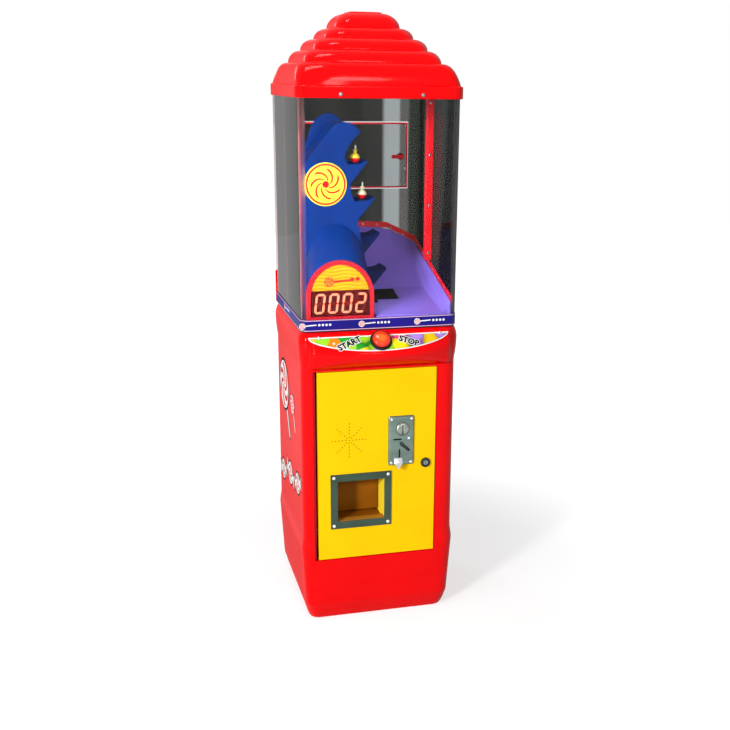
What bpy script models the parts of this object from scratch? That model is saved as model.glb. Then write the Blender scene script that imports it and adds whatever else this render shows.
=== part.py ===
# Lollipop vending machine: a floor cabinet with a clear case, a stepped lifter and a tiered roof.
# Metres, +Z up. The front faces -Y and the origin is on the floor under the middle of the cabinet.
import math
import bpy
import bmesh
from mathutils import Matrix, Vector

for old in list(bpy.data.objects):
    bpy.data.objects.remove(old, do_unlink=True)

# Clearances shared by all pieces
GAP = 0.0003              # between pieces that touch
RUN_GAP = 0.0006          # around pieces that turn or slide
OVERRUN = 0.012           # how far a cutter runs past what it cuts

# Overall plan
CABINET_SIDE = 0.400
HALF_X = CABINET_SIDE / 2
HALF_Y = CABINET_SIDE / 2
CORNER_RADIUS = 0.024
CORNER_STEPS = 5
CABINET_WALL = 0.004

# Plinth and floor
PLINTH_TOP = 0.0880
PLINTH_FOOT_INSET = 0.0165
PLINTH_TOP_INSET = 0.0025
PLINTH_FOLD_HEIGHT = 0.0440
PLINTH_FOLD_INSET = 0.0050
PLINTH_FOOT_ROUND = 0.0060
BASE_PLATE_THICKNESS = 0.0030

# Cabinet shell
BULGE_HEIGHT = 0.200
BULGE_SPREAD = 0.034
BULGE_PROUD = 0.0035
SHOULDER_LOW = 0.695
SHOULDER_HIGH = 0.757
SHOULDER_PROUD = 0.0045
SHELL_TOP = 0.782
SHELL_TOP_INSET = 0.0020
DECK_THICKNESS = 0.0030

# Front door and its opening
DOOR_LEFT_MARGIN = 0.0390
DOOR_RIGHT_MARGIN = 0.0530
DOOR_LEFT = DOOR_LEFT_MARGIN - HALF_X
DOOR_RIGHT = HALF_X - DOOR_RIGHT_MARGIN
DOOR_BOTTOM = 0.1765
DOOR_TOP = 0.6805
DOOR_THICKNESS = 0.012
DOOR_SKIN = 0.0015
DOOR_PROUD = 0.0008
DOOR_GAP = 0.0025
DOOR_HINGE_GAP = 0.0120
JAMB_BORDER = 0.0120
JAMB_LEFT_BORDER = 0.0030
JAMB_STOP = 0.0050
JAMB_STOP_THICKNESS = 0.0040
HINGE_RELIEF = 0.0100
HINGE_SETBACK = 0.0052
HINGE_DEPTH = 0.0080
HINGE_PIN_RADIUS = 0.0025
HINGE_PIN_LENGTH = 0.022
HINGE_PIN_IN_JAMB = 0.008

# Speaker behind the door
SPEAKER_SIDE_OFFSET = 0.0105
SPEAKER_Z = 0.4995
SPEAKER_RADIUS = 0.0385
SPEAKER_DEPTH = 0.030
SPEAKER_MAGNET_RADIUS = 0.019
SPEAKER_FLANGE = 0.0030
SPEAKER_HOLE_RADIUS = 0.0017
SPEAKER_HOLE_STEP = 0.0088
SPEAKER_ARMS = 8
SPEAKER_HOLES_PER_ARM = 5
SPEAKER_HOLE_TURN = 0.37    # turns each hole a little so that no two line up in the mesh

# Prize opening in the door
PRIZE_MARGIN = 0.0495
PRIZE_WIDTH = 0.1230
PRIZE_LEFT = DOOR_LEFT + PRIZE_MARGIN
PRIZE_RIGHT = PRIZE_LEFT + PRIZE_WIDTH
PRIZE_BOTTOM = 0.280
PRIZE_TOP = 0.390
PRIZE_FRAME_BORDER_X = 0.0185
PRIZE_FRAME_BORDER_Z = 0.0195
PRIZE_FRAME_THICKNESS = 0.0030
PRIZE_BOX_WALL = 0.0020
PRIZE_BOX_DEPTH = 0.1700
PRIZE_CHUTE_MOUTH = 0.050
PRIZE_FLAP_SETBACK = 0.062
PRIZE_FLAP_THICKNESS = 0.0030
PRIZE_FLAP_SIDE_GAP = 0.0012
PRIZE_FLAP_BOTTOM_GAP = 0.0040
PRIZE_FLAP_HINGE_RADIUS = 0.0025

# Coin unit on the door
COIN_MARGIN = 0.0580
COIN_WIDTH = 0.0680
COIN_LEFT = DOOR_RIGHT - COIN_MARGIN - COIN_WIDTH
COIN_RIGHT = COIN_LEFT + COIN_WIDTH
SPEAKER_X = (DOOR_LEFT + COIN_LEFT) / 2 - SPEAKER_SIDE_OFFSET
COIN_BOTTOM = 0.4235
COIN_TOP = 0.5565
COIN_PLATE_THICKNESS = 0.0060
COIN_PLATE_BEVEL = 0.0040
COIN_MECH_MARGIN_X = 0.0070
COIN_MECH_MARGIN_Z = 0.0060
COIN_MECH_DEPTH = 0.080
COIN_RING_OFFSET = 0.0365
COIN_RING_X = COIN_LEFT + COIN_RING_OFFSET
COIN_RING_Z = 0.5220
COIN_RING_RADIUS = 0.0180
COIN_RING_PROUD = 0.0050
COIN_SLOT_WIDTH = 0.0028
COIN_SLOT_HEIGHT = 0.0260
COIN_LEVER_OFFSET = 0.0350
COIN_LEVER_X = COIN_LEFT + COIN_LEVER_OFFSET
COIN_LEVER_Z = 0.4810
COIN_LEVER_LENGTH = 0.0250
COIN_LEVER_WIDTH = 0.0070
COIN_LEVER_THICKNESS = 0.0030
COIN_LEVER_HUB_RADIUS = 0.0048
COIN_LEVER_PROUD = 0.0060
COIN_LEVER_REST_DEG = -42.0
COIN_CUP_OFFSET = 0.0240
COIN_CUP_X = COIN_LEFT + COIN_CUP_OFFSET
COIN_CUP_Z = 0.4320
COIN_CUP_WIDTH = 0.0250
COIN_CUP_HEIGHT = 0.0300
COIN_CUP_DEPTH = 0.0150
COIN_CUP_WALL = 0.0020

# Door lock
LOCK_MARGIN = 0.0255
LOCK_X = DOOR_RIGHT - LOCK_MARGIN
LOCK_Z = 0.4245
LOCK_FLANGE_RADIUS = 0.0130
LOCK_FLANGE_THICKNESS = 0.0040
LOCK_BARREL_RADIUS = 0.0090
LOCK_BARREL_LENGTH = 0.0174
LOCK_PLUG_RADIUS = 0.0060
LOCK_CAM_LENGTH = 0.0330
LOCK_CAM_WIDTH = 0.0120
LOCK_CAM_THICKNESS = 0.0030

# Control shelf, its decal and the start button
SHELF_MARGIN = 0.0170
SHELF_HALF = HALF_X - SHELF_MARGIN
SHELF_TOP = 0.7805
SHELF_BOTTOM = 0.6900
SHELF_BOW = 0.0420
SHELF_END_BOW = 0.0040
SHELF_WALL = 0.0030
SHELF_SEAT_GAP = 0.0006
SHELF_COLUMNS = 24
SHELF_DROP_SHARES = (0.0, 0.05, 0.46, 0.55, 0.66, 0.86, 1.0)
SHELF_REACH_SHARES = (0.0, 0.10, 0.93, 1.00, 0.93, 0.42, 0.0)
DECAL_X = -0.0060
DECAL_MARGIN = 0.0050
DECAL_HALF = SHELF_HALF - DECAL_MARGIN
DECAL_TOP_SHARE = 0.10
DECAL_DEPTH_SHARE = 0.84
DECAL_THICKNESS = 0.0006
DECAL_GAP = 0.0011
DECAL_COLUMNS = 24
BUTTON_X = -0.0060
BUTTON_SHARE = 0.42
BUTTON_CAP_RADIUS = 0.0225
BUTTON_CAP_HEIGHT = 0.0120
BUTTON_BEZEL_RADIUS = 0.0275
BUTTON_BEZEL_HEIGHT = 0.0055
BUTTON_FLOOR = 0.0015
BUTTON_TRAVEL = 0.0030
BUTTON_BARREL_RADIUS = 0.0130
BUTTON_BARREL_LENGTH = 0.0110
BUTTON_STEM_RADIUS = 0.0070
BUTTON_STEM_LENGTH = 0.0100
SWITCH_SIZE = 0.0200
SWITCH_DEPTH = 0.0090

# Clear case
CASE_INSET = 0.0025
CASE_REAR_INSET = 0.0080
CASE_BACK_INSET = 0.0050
CASE_HALF = HALF_X - CASE_INSET
CASE_REAR = HALF_Y - CASE_REAR_INSET
CASE_BACK_HALF = HALF_X - CASE_BACK_INSET
CASE_WALL = 0.0030
CASE_TOP = 1.3377
CASE_JOINT_Y = 0.0310
CASE_CORNER_RADIUS = 0.0200
BAND_HEIGHT = 0.0280
BAND_THICKNESS = 0.0014
POST_SIZE = 0.0180
UPSTAND_THICKNESS = 0.0040
UPSTAND_TOP = 0.8720
REAR_DOOR_INSET = 0.0305
REAR_DOOR_HALF = HALF_X - REAR_DOOR_INSET
REAR_DOOR_BOTTOM = 1.0905
REAR_DOOR_TOP = 1.2645
REAR_DOOR_GAP = 0.0020
REAR_TRIM_WIDTH = 0.0045
REAR_TRIM_THICKNESS = 0.0022
REAR_PIN_RADIUS = 0.0020
REAR_LATCH_INSET = 0.0480
REAR_LATCH_X = HALF_X - REAR_LATCH_INSET
REAR_LATCH_Z = 1.1740
REAR_KNOB_RADIUS = 0.0090
REAR_KNOB_LENGTH = 0.0120
REAR_LATCH_SHAFT_RADIUS = 0.0035
REAR_TONGUE_LENGTH = 0.0280
REAR_TONGUE_WIDTH = 0.0100
REAR_TONGUE_THICKNESS = 0.0030

# Roof: half width and foot height of each tier, from the lowest up
RIM_BOTTOM = 1.3330
RIM_TOP = 1.3620
ROOF_HEIGHT = 0.1690
RIM_PROUD = 0.0038
RIM_RADIUS = 0.0240
RIM_HALF = HALF_X + RIM_PROUD
ROOF_WALL = 0.0035
TRAY_THICKNESS = 0.0080
TIER_HALF_SHARES = (0.998, 0.856, 0.712, 0.555, 0.405)
TIER_SHOULDER_SHARES = (0.860, 0.716, 0.560, 0.410, 0.215)
TIER_RADIUS_SHARES = (0.150, 0.220, 0.220, 0.200, 0.165)
TIER_SQUARE_SHARES = (0.70, 0.85, 0.85, 0.90, 0.95)
TIER_FOOT_SHARES = (0.003, 0.3018, 0.4734, 0.6331, 0.7811)
TIER_TOP_SHARES = (0.2988, 0.4704, 0.6302, 0.7781, 0.9822)
TIER_FEET = [RIM_TOP + ROOF_HEIGHT * share for share in TIER_FOOT_SHARES]
TIER_TOPS = [RIM_TOP + ROOF_HEIGHT * share for share in TIER_TOP_SHARES]
TIER_STEPS = 4
TIER_HALVES = [HALF_X * share for share in TIER_HALF_SHARES]
TIER_SHOULDERS = [HALF_X * share for share in TIER_SHOULDER_SHARES]
TIER_RADII = [HALF_X * share for share in TIER_RADIUS_SHARES]
ROOF_TOP_SHARE = 0.20
ROOF_TOP_HALF = HALF_X * ROOF_TOP_SHARE
ROOF_TOP = RIM_TOP + ROOF_HEIGHT
RIM_SCREW_SHARE = 0.484
RIM_SCREW_X = RIM_HALF * RIM_SCREW_SHARE
RIM_SCREW_RADIUS = 0.0050
RIM_SCREW_HEAD = 0.0025
RIM_SCREW_SHANK_RADIUS = 0.0020

# Stepped lifter. Its own frame lies along the line of the step tips, which leans to the left going up.
STEP_RISE = 0.0900
STEP_LEAN = 0.0180
STEP_COUNT = 5
COLUMN_MARGIN = 0.0340
COLUMN_LEFT = COLUMN_MARGIN - HALF_X
FIRST_TIP_OFFSET = 0.1600
FIRST_TIP_X = COLUMN_LEFT + FIRST_TIP_OFFSET
FIRST_TIP_Z = 1.1850
COLUMN_FRONT = -0.0800
COLUMN_DEPTH = 0.1040
COLUMN_PLATE = 0.0040
COLUMN_SHROUD = 0.0030
BLADE_THICKNESS = 0.0050
BLADE_LANES = 6
STEP_NOTCH_DEPTH = 0.0510
STEP_DIP_DEPTH = 0.0194
STEP_DIP = 0.0053
STEP_NOSE = 0.0050
STEP_ROOT_DEPTH = 0.0535
STEP_ROOT_DROP = 0.0484
STEP_WALL_DEPTH = 0.0553
STEP_WALL_RISE = 0.0190
FIXED_SPINE_DEPTH = 0.0780
MOVING_SPINE_NEAR = 0.0850
MOVING_SPINE_FAR = 0.0930
MOVING_BOTTOM = 0.8020
FIXED_CAP_RISE = 0.0060
ARM_REACH = 0.1200
ARM_DROP = 0.0140
ARM_HEIGHT = 0.0100
CROSS_BAR_RADIUS = 0.0040
CROSS_BAR_Z = 0.7930
SPINE_HEAD_DROP = 0.1700
RACK_TIP_SHARE = 0.20
RACK_ROOT_SHARE = 0.90
RACK_TEETH_PER_STEP = 15
PINION_TEETH = 16
RACK_BACK = 0.0050
RACK_WIDTH = 0.0100
RACK_DROP = 0.3550
PINION_DROP = 0.2550
PINION_SHAFT_RADIUS = 0.0030
PINION_HUB_RADIUS = 0.0080
MOTOR_RADIUS = 0.0185
MOTOR_LENGTH = 0.0600
GUIDE_RADIUS = 0.0040
GUIDE_OFFSET = 0.0110
GUIDE_LUG = 0.0080
BADGE_OFFSET = 0.0540
BADGE_X = COLUMN_LEFT + BADGE_OFFSET
BADGE_Z = 1.1270
BADGE_RADIUS = 0.0530
BADGE_THICKNESS = 0.0030

# Outline of the front plate's hood, as places left of and above the first tip
CURVE_STEPS = 6
HOOD_LEFT_RISE = -0.0100
HOOD_SHOULDER = (-0.0830, 0.0830)
HOOD_CREST = (-0.0620, 0.0900)
HOOD_FRONT = (-0.0380, 0.0860)
HOOD_NOSE = (-0.0160, 0.0660)
HOOD_THROAT = (-0.0500, 0.0270)
REAR_CREST = (-0.0760, 0.1080)
REAR_LEFT_OFFSET = 0.0140
REAR_LEFT_X = COLUMN_LEFT + REAR_LEFT_OFFSET
REAR_SHOULDER = (-0.1180, 0.0820)

# Display in front of the column
DISPLAY_OFFSET = 0.0705
DISPLAY_X = COLUMN_LEFT + DISPLAY_OFFSET
DISPLAY_HALF = 0.0850
DISPLAY_SPRING_Z = 0.8650
DISPLAY_TOP = 0.9540
DISPLAY_SETBACK = 0.0340
DISPLAY_FRAME_Y = DISPLAY_SETBACK - HALF_Y
DISPLAY_FRAME_THICKNESS = 0.0080
DISPLAY_FRAME_WIDTH = 0.0105
DISPLAY_SILL_Z = 0.8150
DISPLAY_BAR_Z = 0.8800
DISPLAY_PLATE_THICKNESS = 0.0030
DISPLAY_RECESS = 0.0020
DISPLAY_FIT = 0.0014
LED_DEPTH = 0.0220
HOUSING_WALL = 0.0025
HOUSING_FRONT_HALF = 0.0830
HOUSING_FRONT_TOP = 0.9500
HOUSING_REAR_OFFSET = 0.0780
HOUSING_REAR_X = COLUMN_LEFT + HOUSING_REAR_OFFSET
HOUSING_REAR_HALF = 0.0770
HOUSING_REAR_SPRING_Z = 0.9200
HOUSING_REAR_TOP = 1.0310
ARCH_STEPS = 16

# Purple hopper and the red edging on its rim
HOPPER_OFFSET = 0.1620
HOPPER_SETBACK = 0.0340
HOPPER_LEFT = COLUMN_LEFT + HOPPER_OFFSET
HOPPER_WALL = 0.0028
HOPPER_FRONT = HOPPER_SETBACK - HALF_Y
HOPPER_FRONT_FLOOR = 0.8120
HOPPER_BREAK_Y = 0.0000
HOPPER_BREAK_FLOOR = 0.8440
HOPPER_REAR_CURVE = 1.25
HOPPER_RIM_FRONT = 0.8530
HOPPER_RIM_REAR = 0.9550
HOPPER_REAR_PROFILE = ((0.0120, 0.9570), (0.0610, 0.9840), (0.0880, 0.9970))
HOPPER_REAR_FLAT = 0.0440
HOPPER_REAR_HEIGHT = 1.0010
HOPPER_REAR_LINE = [(HALF_X - inset, height) for inset, height in HOPPER_REAR_PROFILE]
HOPPER_REAR_LINE.append((HOPPER_LEFT + HOPPER_REAR_FLAT, HOPPER_REAR_HEIGHT))
HOPPER_SIDE_WIDTH = 0.0280
HOPPER_WALL_GAP = 0.0008
HOPPER_ROWS = 14
HOPPER_NOTCH_REACH = 0.2500
HOPPER_BODY_REACH = 0.1900
HOPPER_NOTCH_RIGHT = COLUMN_LEFT + HOPPER_NOTCH_REACH
HOPPER_NOTCH_MARGIN = 0.0040
HOPPER_SLOT_MARGIN = 0.0030
HOPPER_SIDE_SHARES = (0.0, 0.02, 0.10, 0.30, 0.62, 1.0)
EDGING_HEIGHT = 0.0150
EDGING_THICKNESS = 0.0022

# Delivery tube from the lifter to the prize box
TUBE_RADIUS = 0.0210
TUBE_BORE = 0.0190
TUBE_TOP = 1.1250
TUBE_OFFSET = 0.0280
TUBE_X = COLUMN_LEFT + TUBE_OFFSET
TUBE_END_X = (PRIZE_LEFT + PRIZE_RIGHT) / 2
TUBE_END_SETBACK = 0.0910
TUBE_END_Y = TUBE_END_SETBACK - HALF_Y
TUBE_SIDES_RESOLUTION = 3

# Electrics and cash box
SUPPLY_SIZE = (0.100, 0.080, 0.050)
SUPPLY_INSET = 0.1000
SUPPLY_REAR_INSET = 0.0800
SUPPLY_PLACE = (SUPPLY_INSET - HALF_X, HALF_Y - SUPPLY_REAR_INSET)
BOARD_SIZE = (0.140, 0.0020, 0.110)
BOARD_X = -0.0200
BOARD_Z = 0.5200
BOARD_PLACE = (BOARD_X, BOARD_Z)
INLET_INSET = 0.0800
INLET_X = HALF_X - INLET_INSET
INLET_Z = 0.300
INLET_WIDTH = 0.048
INLET_HEIGHT = 0.027
INLET_FLANGE = 0.0030
INLET_BODY_WIDTH = 0.030
INLET_BODY_HEIGHT = 0.022
INLET_BODY_DEPTH = 0.024
INLET_SOCKET_WALL = 0.0020
INLET_SOCKET_DEPTH = 0.0160
CASH_BOX_SIZE = (0.090, 0.110, 0.190)
CASH_BOX_INSET = 0.1300
CASH_BOX_SETBACK = 0.1200
CASH_BOX_PLACE = (HALF_X - CASH_BOX_INSET, CASH_BOX_SETBACK - HALF_Y)
CASH_BOX_WALL = 0.0015

# Places worked out from the sizes above
DECK_BOTTOM = SHELL_TOP + GAP
DECK_TOP = DECK_BOTTOM + DECK_THICKNESS
DECK_HALF = HALF_X - SHELL_TOP_INSET
DECK_HALF_Y = HALF_Y - SHELL_TOP_INSET
STAND_Z = DECK_TOP + GAP
DOOR_FRONT = -HALF_Y - DOOR_PROUD
DOOR_BACK = DOOR_FRONT + DOOR_THICKNESS
OPENING_LEFT = DOOR_LEFT - DOOR_HINGE_GAP
OPENING_RIGHT = DOOR_RIGHT + DOOR_GAP
OPENING_BOTTOM = DOOR_BOTTOM - DOOR_GAP
OPENING_TOP = DOOR_TOP + DOOR_GAP
HINGE_X = DOOR_LEFT + HINGE_SETBACK
HINGE_Y = DOOR_FRONT + HINGE_DEPTH
JAMB_FRONT = -HALF_Y + CABINET_WALL + GAP
JAMB_STOP_FRONT = DOOR_BACK + GAP
JAMB_BACK = JAMB_STOP_FRONT + JAMB_STOP_THICKNESS
SHELF_FACE_Y = -HALF_Y - SHOULDER_PROUD - GAP - SHELF_WALL
CASE_INNER = CASE_HALF - CASE_WALL
TRAY_BOTTOM = CASE_TOP + GAP
TRAY_TOP = TRAY_BOTTOM + TRAY_THICKNESS
STEP_PITCH = math.hypot(STEP_RISE, STEP_LEAN)
LEAN = math.atan2(STEP_LEAN, STEP_RISE)
COLUMN_BACK = COLUMN_FRONT + COLUMN_DEPTH
BAY_FRONT = COLUMN_FRONT + COLUMN_PLATE
BAY_BACK = COLUMN_BACK - COLUMN_PLATE
LANE = (BAY_BACK - BAY_FRONT) / BLADE_LANES
COLUMN_MIDDLE = (BAY_FRONT + BAY_BACK) / 2
TOOTH = STEP_PITCH / RACK_TEETH_PER_STEP
PINION_PITCH_RADIUS = PINION_TEETH * TOOTH / math.tau
ADDENDUM = TOOTH / math.pi
FLAP_Y = DOOR_FRONT + PRIZE_FLAP_SETBACK
PRIZE_BOX_BACK = DOOR_FRONT + PRIZE_BOX_DEPTH
TUBE_END_Z = PRIZE_TOP + PRIZE_BOX_WALL + PRIZE_FRAME_THICKNESS

# The cabinet shell's outside as (outward offset from the plan, height), from the plinth up
SHELL_LEVELS = [(-PLINTH_TOP_INSET, PLINTH_TOP + GAP),
                (BULGE_PROUD / 2, BULGE_HEIGHT - BULGE_SPREAD),
                (BULGE_PROUD, BULGE_HEIGHT),
                (0.0, BULGE_HEIGHT + BULGE_SPREAD),
                (0.0, SHOULDER_LOW),
                (SHOULDER_PROUD * 0.8, (SHOULDER_LOW + SHOULDER_HIGH) / 2),
                (SHOULDER_PROUD, SHOULDER_HIGH),
                (SHOULDER_PROUD / 2, (SHOULDER_HIGH + SHELL_TOP) / 2),
                (-SHELL_TOP_INSET, SHELL_TOP)]

model = bpy.data.collections.new("lollipop_vending_machine")
cutters = bpy.data.collections.new("cutters")
bpy.context.scene.collection.children.link(model)
bpy.context.scene.collection.children.link(cutters)

COLOURS = {
    "red_gloss": ((0.80, 0.010, 0.012), 0.18, 0.0),
    "red_trim": ((0.70, 0.02, 0.03), 0.30, 0.0),
    "yellow_paint": ((0.95, 0.62, 0.01), 0.25, 0.0),
    "clear_acrylic": ((0.85, 0.92, 0.92), 0.05, 0.0),
    "smoked_acrylic": ((0.20, 0.19, 0.18), 0.08, 0.0),
    "blue_plastic": ((0.010, 0.06, 0.36), 0.28, 0.0),
    "dark_blue_plastic": ((0.010, 0.03, 0.20), 0.32, 0.0),
    "purple_plastic": ((0.20, 0.12, 0.48), 0.25, 0.0),
    "band_print": ((0.03, 0.02, 0.25), 0.30, 0.0),
    "decal_print": ((0.45, 0.60, 0.12), 0.30, 0.0),
    "badge_print": ((0.95, 0.75, 0.05), 0.30, 0.0),
    "face_print": ((0.90, 0.55, 0.03), 0.30, 0.0),
    "led_window": ((0.10, 0.0, 0.0), 0.15, 0.0),
    "frame_metal": ((0.16, 0.22, 0.19), 0.40, 0.9),
    "coin_metal": ((0.55, 0.60, 0.58), 0.25, 1.0),
    "chrome": ((0.75, 0.75, 0.77), 0.10, 1.0),
    "steel": ((0.45, 0.46, 0.48), 0.40, 1.0),
    "black_plastic": ((0.02, 0.02, 0.02), 0.45, 0.0),
    "button_orange": ((1.0, 0.12, 0.01), 0.20, 0.0),
    "amber_plastic": ((0.30, 0.14, 0.03), 0.20, 0.0),
    "brown_board": ((0.30, 0.20, 0.10), 0.60, 0.0),
    "board_green": ((0.03, 0.20, 0.08), 0.50, 0.0),
    "grey_plastic": ((0.30, 0.31, 0.32), 0.45, 0.0),
}


def material(name):
    """A Principled material from the colour table, made once."""
    found = bpy.data.materials.get(name)
    if found:
        return found
    colour, roughness, metallic = COLOURS[name]
    made = bpy.data.materials.new(name)
    made.use_nodes = True
    shader = made.node_tree.nodes["Principled BSDF"]
    shader.inputs["Base Color"].default_value = (*colour, 1.0)
    shader.inputs["Roughness"].default_value = roughness
    shader.inputs["Metallic"].default_value = metallic
    return made


def dress(mesh, finish):
    """Gives a mesh its own copy of a finish and smooth shading with sharp edges kept."""
    mesh.materials.clear()
    mesh.materials.append(material(finish).copy())
    mesh.shade_smooth()
    mesh.set_sharp_from_angle(angle=math.radians(35))


def object_from_bmesh(name, bm, finish, place=None, collection=None):
    bmesh.ops.recalc_face_normals(bm, faces=bm.faces)
    mesh = bpy.data.meshes.new(name)
    bm.to_mesh(mesh)
    bm.free()
    dress(mesh, finish)
    made = bpy.data.objects.new(name, mesh)
    (collection or model).objects.link(made)
    if place is not None:
        made.matrix_world = place
    return made


def as_cutter(made):
    for holder in list(made.users_collection):
        holder.objects.unlink(made)
    cutters.objects.link(made)
    made.hide_render = True
    made.display_type = 'WIRE'
    return made


def boolean(target, tool, operation='DIFFERENCE'):
    modifier = target.modifiers.new(operation.title(), 'BOOLEAN')
    modifier.operation = operation
    modifier.solver = 'EXACT'
    modifier.object = as_cutter(tool)
    return target


def box(name, low, high, finish="steel"):
    """A box between two corners, with its object at the box's middle."""
    low, high = Vector(low), Vector(high)
    size = high - low
    bm = bmesh.new()
    bmesh.ops.create_cube(bm, size=1.0, matrix=Matrix.Diagonal((*size, 1.0)))
    return object_from_bmesh(name, bm, finish, Matrix.Translation((low + high) / 2))


def rod(name, start, end, radius, finish="steel", sides=16, end_radius=None):
    """A round bar or cone between two points."""
    start, end = Vector(start), Vector(end)
    bm = bmesh.new()
    bmesh.ops.create_cone(bm, cap_ends=True, segments=sides, radius1=radius,
                          radius2=radius if end_radius is None else end_radius,
                          depth=(end - start).length)
    turn = (end - start).to_track_quat('Z', 'Y').to_matrix().to_4x4()
    return object_from_bmesh(name, bm, finish, Matrix.Translation((start + end) / 2) @ turn)


FACING_FRONT = Matrix.Rotation(math.pi / 2, 4, 'X')
UPRIGHT = Matrix.Identity(4)


def plate(name, outlines, thickness, origin, finish="steel", facing=FACING_FRONT):
    """A flat plate from closed outlines, the first outside and the rest holes, centred on its origin."""
    curve = bpy.data.curves.new(name, 'CURVE')
    curve.dimensions = '2D'
    curve.fill_mode = 'BOTH'
    curve.extrude = thickness / 2
    for outline in outlines:
        spline = curve.splines.new('POLY')
        spline.points.add(len(outline) - 1)
        for point, (across, up) in zip(spline.points, outline):
            point.co = (across, up, 0.0, 1.0)
        spline.use_cyclic_u = True
    made = bpy.data.objects.new(name, curve)
    model.objects.link(made)
    made.matrix_world = Matrix.Translation(origin) @ facing
    return solid_from_curve(made, finish)


def solid_from_curve(made, finish):
    """Turns a curve object into a closed mesh object of the same name and place."""
    bpy.context.view_layer.update()
    name, place = made.name, made.matrix_world.copy()
    graph = bpy.context.evaluated_depsgraph_get()
    mesh = bpy.data.meshes.new_from_object(made.evaluated_get(graph))
    curve = made.data
    bpy.data.objects.remove(made, do_unlink=True)
    bpy.data.curves.remove(curve)
    bm = bmesh.new()
    bm.from_mesh(mesh)
    bpy.data.meshes.remove(mesh)
    bmesh.ops.remove_doubles(bm, verts=bm.verts, dist=GAP / 10)
    return object_from_bmesh(name, bm, finish, place)


def turned(name, profile, origin, direction, finish="steel", steps=24):
    """A turned piece. The profile lists (radius, height) from the top down and is closed on the axis or a bore."""
    bm = bmesh.new()
    verts = [bm.verts.new((radius, 0.0, height)) for radius, height in profile]
    for first, second in zip(verts, verts[1:]):
        bm.edges.new((first, second))
    if profile[0][0] > 0:
        bm.edges.new((verts[-1], verts[0]))
    mesh = bpy.data.meshes.new(name)
    bm.to_mesh(mesh)
    bm.free()
    made = bpy.data.objects.new(name, mesh)
    model.objects.link(made)
    turn = Vector(direction).to_track_quat('Z', 'Y').to_matrix().to_4x4()
    made.matrix_world = Matrix.Translation(origin) @ turn
    screw = made.modifiers.new("Turn", 'SCREW')
    screw.axis = 'Z'
    screw.steps = screw.render_steps = steps
    screw.use_merge_vertices = True
    screw.merge_threshold = 0.0001
    mesh.materials.append(material(finish).copy())
    return made


def rounded_rectangle(half_x, half_y, radius, steps=CORNER_STEPS, centre=(0.0, 0.0)):
    """Points round a rectangle with rounded corners, anticlockwise from the right front corner."""
    points = []
    for corner, (sign_x, sign_y) in enumerate(((1, -1), (1, 1), (-1, 1), (-1, -1))):
        start = -math.pi / 2 + corner * math.pi / 2
        for step in range(steps + 1):
            angle = start + step / steps * math.pi / 2
            points.append((centre[0] + sign_x * (half_x - radius) + radius * math.cos(angle),
                           centre[1] + sign_y * (half_y - radius) + radius * math.sin(angle)))
    return points


def loft(name, rings, finish, closed=False, capped=True):
    """A skin through rings of points. Closed joins the last ring to the first, else the ends are capped."""
    bm = bmesh.new()
    levels = [[bm.verts.new(point) for point in ring] for ring in rings]
    count = len(levels[0])
    pairs = list(zip(levels, levels[1:] + levels[:1])) if closed else list(zip(levels, levels[1:]))
    for lower, upper in pairs:
        for i in range(count):
            j = (i + 1) % count
            bm.faces.new((lower[i], lower[j], upper[j], upper[i]))
    if capped and not closed:
        bm.faces.new(levels[0])
        bm.faces.new(levels[-1])
    return object_from_bmesh(name, bm, finish)


def level_ring(half_x, half_y, radius, height):
    return [(x, y, height) for x, y in rounded_rectangle(half_x, half_y, radius)]


def walled_loft(name, levels, wall, finish):
    """A tube of rounded rectangles. Each level is (outward offset from the cabinet's plan, height)."""
    rings = []
    for thickness, order in ((0.0, levels), (wall, levels[::-1])):
        for offset, height in order:
            inset = offset - thickness
            rings.append(level_ring(HALF_X + inset, HALF_Y + inset, CORNER_RADIUS - thickness, height))
    return loft(name, rings, finish, closed=True)


def skin(name, rows, wall, finish, offset=-1.0):
    """An open grid of points given a wall with Solidify."""
    bm = bmesh.new()
    grid = [[bm.verts.new(point) for point in row] for row in rows]
    for near, far in zip(grid, grid[1:]):
        for i in range(len(near) - 1):
            bm.faces.new((near[i], near[i + 1], far[i + 1], far[i]))
    bmesh.ops.remove_doubles(bm, verts=bm.verts, dist=GAP / 10)
    mesh = bpy.data.meshes.new(name)
    bm.to_mesh(mesh)
    bm.free()
    dress(mesh, finish)
    made = bpy.data.objects.new(name, mesh)
    model.objects.link(made)
    thicken = made.modifiers.new("Wall", 'SOLIDIFY')
    thicken.thickness = wall
    thicken.offset = offset
    thicken.use_even_offset = True
    return made


def offset_path(points, distance):
    """The open path shifted to its left by a distance, with mitred corners."""
    shifted = []
    for i, point in enumerate(points):
        before = Vector(points[max(i - 1, 0)])
        after = Vector(points[min(i + 1, len(points) - 1)])
        here = Vector(point)
        first = (here - before).normalized() if i else (after - here).normalized()
        second = (after - here).normalized() if i < len(points) - 1 else first
        normal = Vector((-first.y - second.y, first.x + second.x)).normalized()
        along = Vector((-first.y, first.x))
        shifted.append(tuple(here + normal * distance / max(normal.dot(along), 0.5)))
    return shifted


def arc(centre, radius, start_deg, end_deg, steps):
    return [(centre[0] + radius * math.cos(math.radians(start_deg + (end_deg - start_deg) * i / steps)),
             centre[1] + radius * math.sin(math.radians(start_deg + (end_deg - start_deg) * i / steps)))
            for i in range(steps + 1)]


def rectangle(left, right, bottom, top):
    return [(left, bottom), (right, bottom), (right, top), (left, top)]


def circle(x, z, radius, sides, phase=0.0):
    return [(x + radius * math.cos(phase + math.tau * i / sides), z + radius * math.sin(phase + math.tau * i / sides))
            for i in range(sides)]


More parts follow.
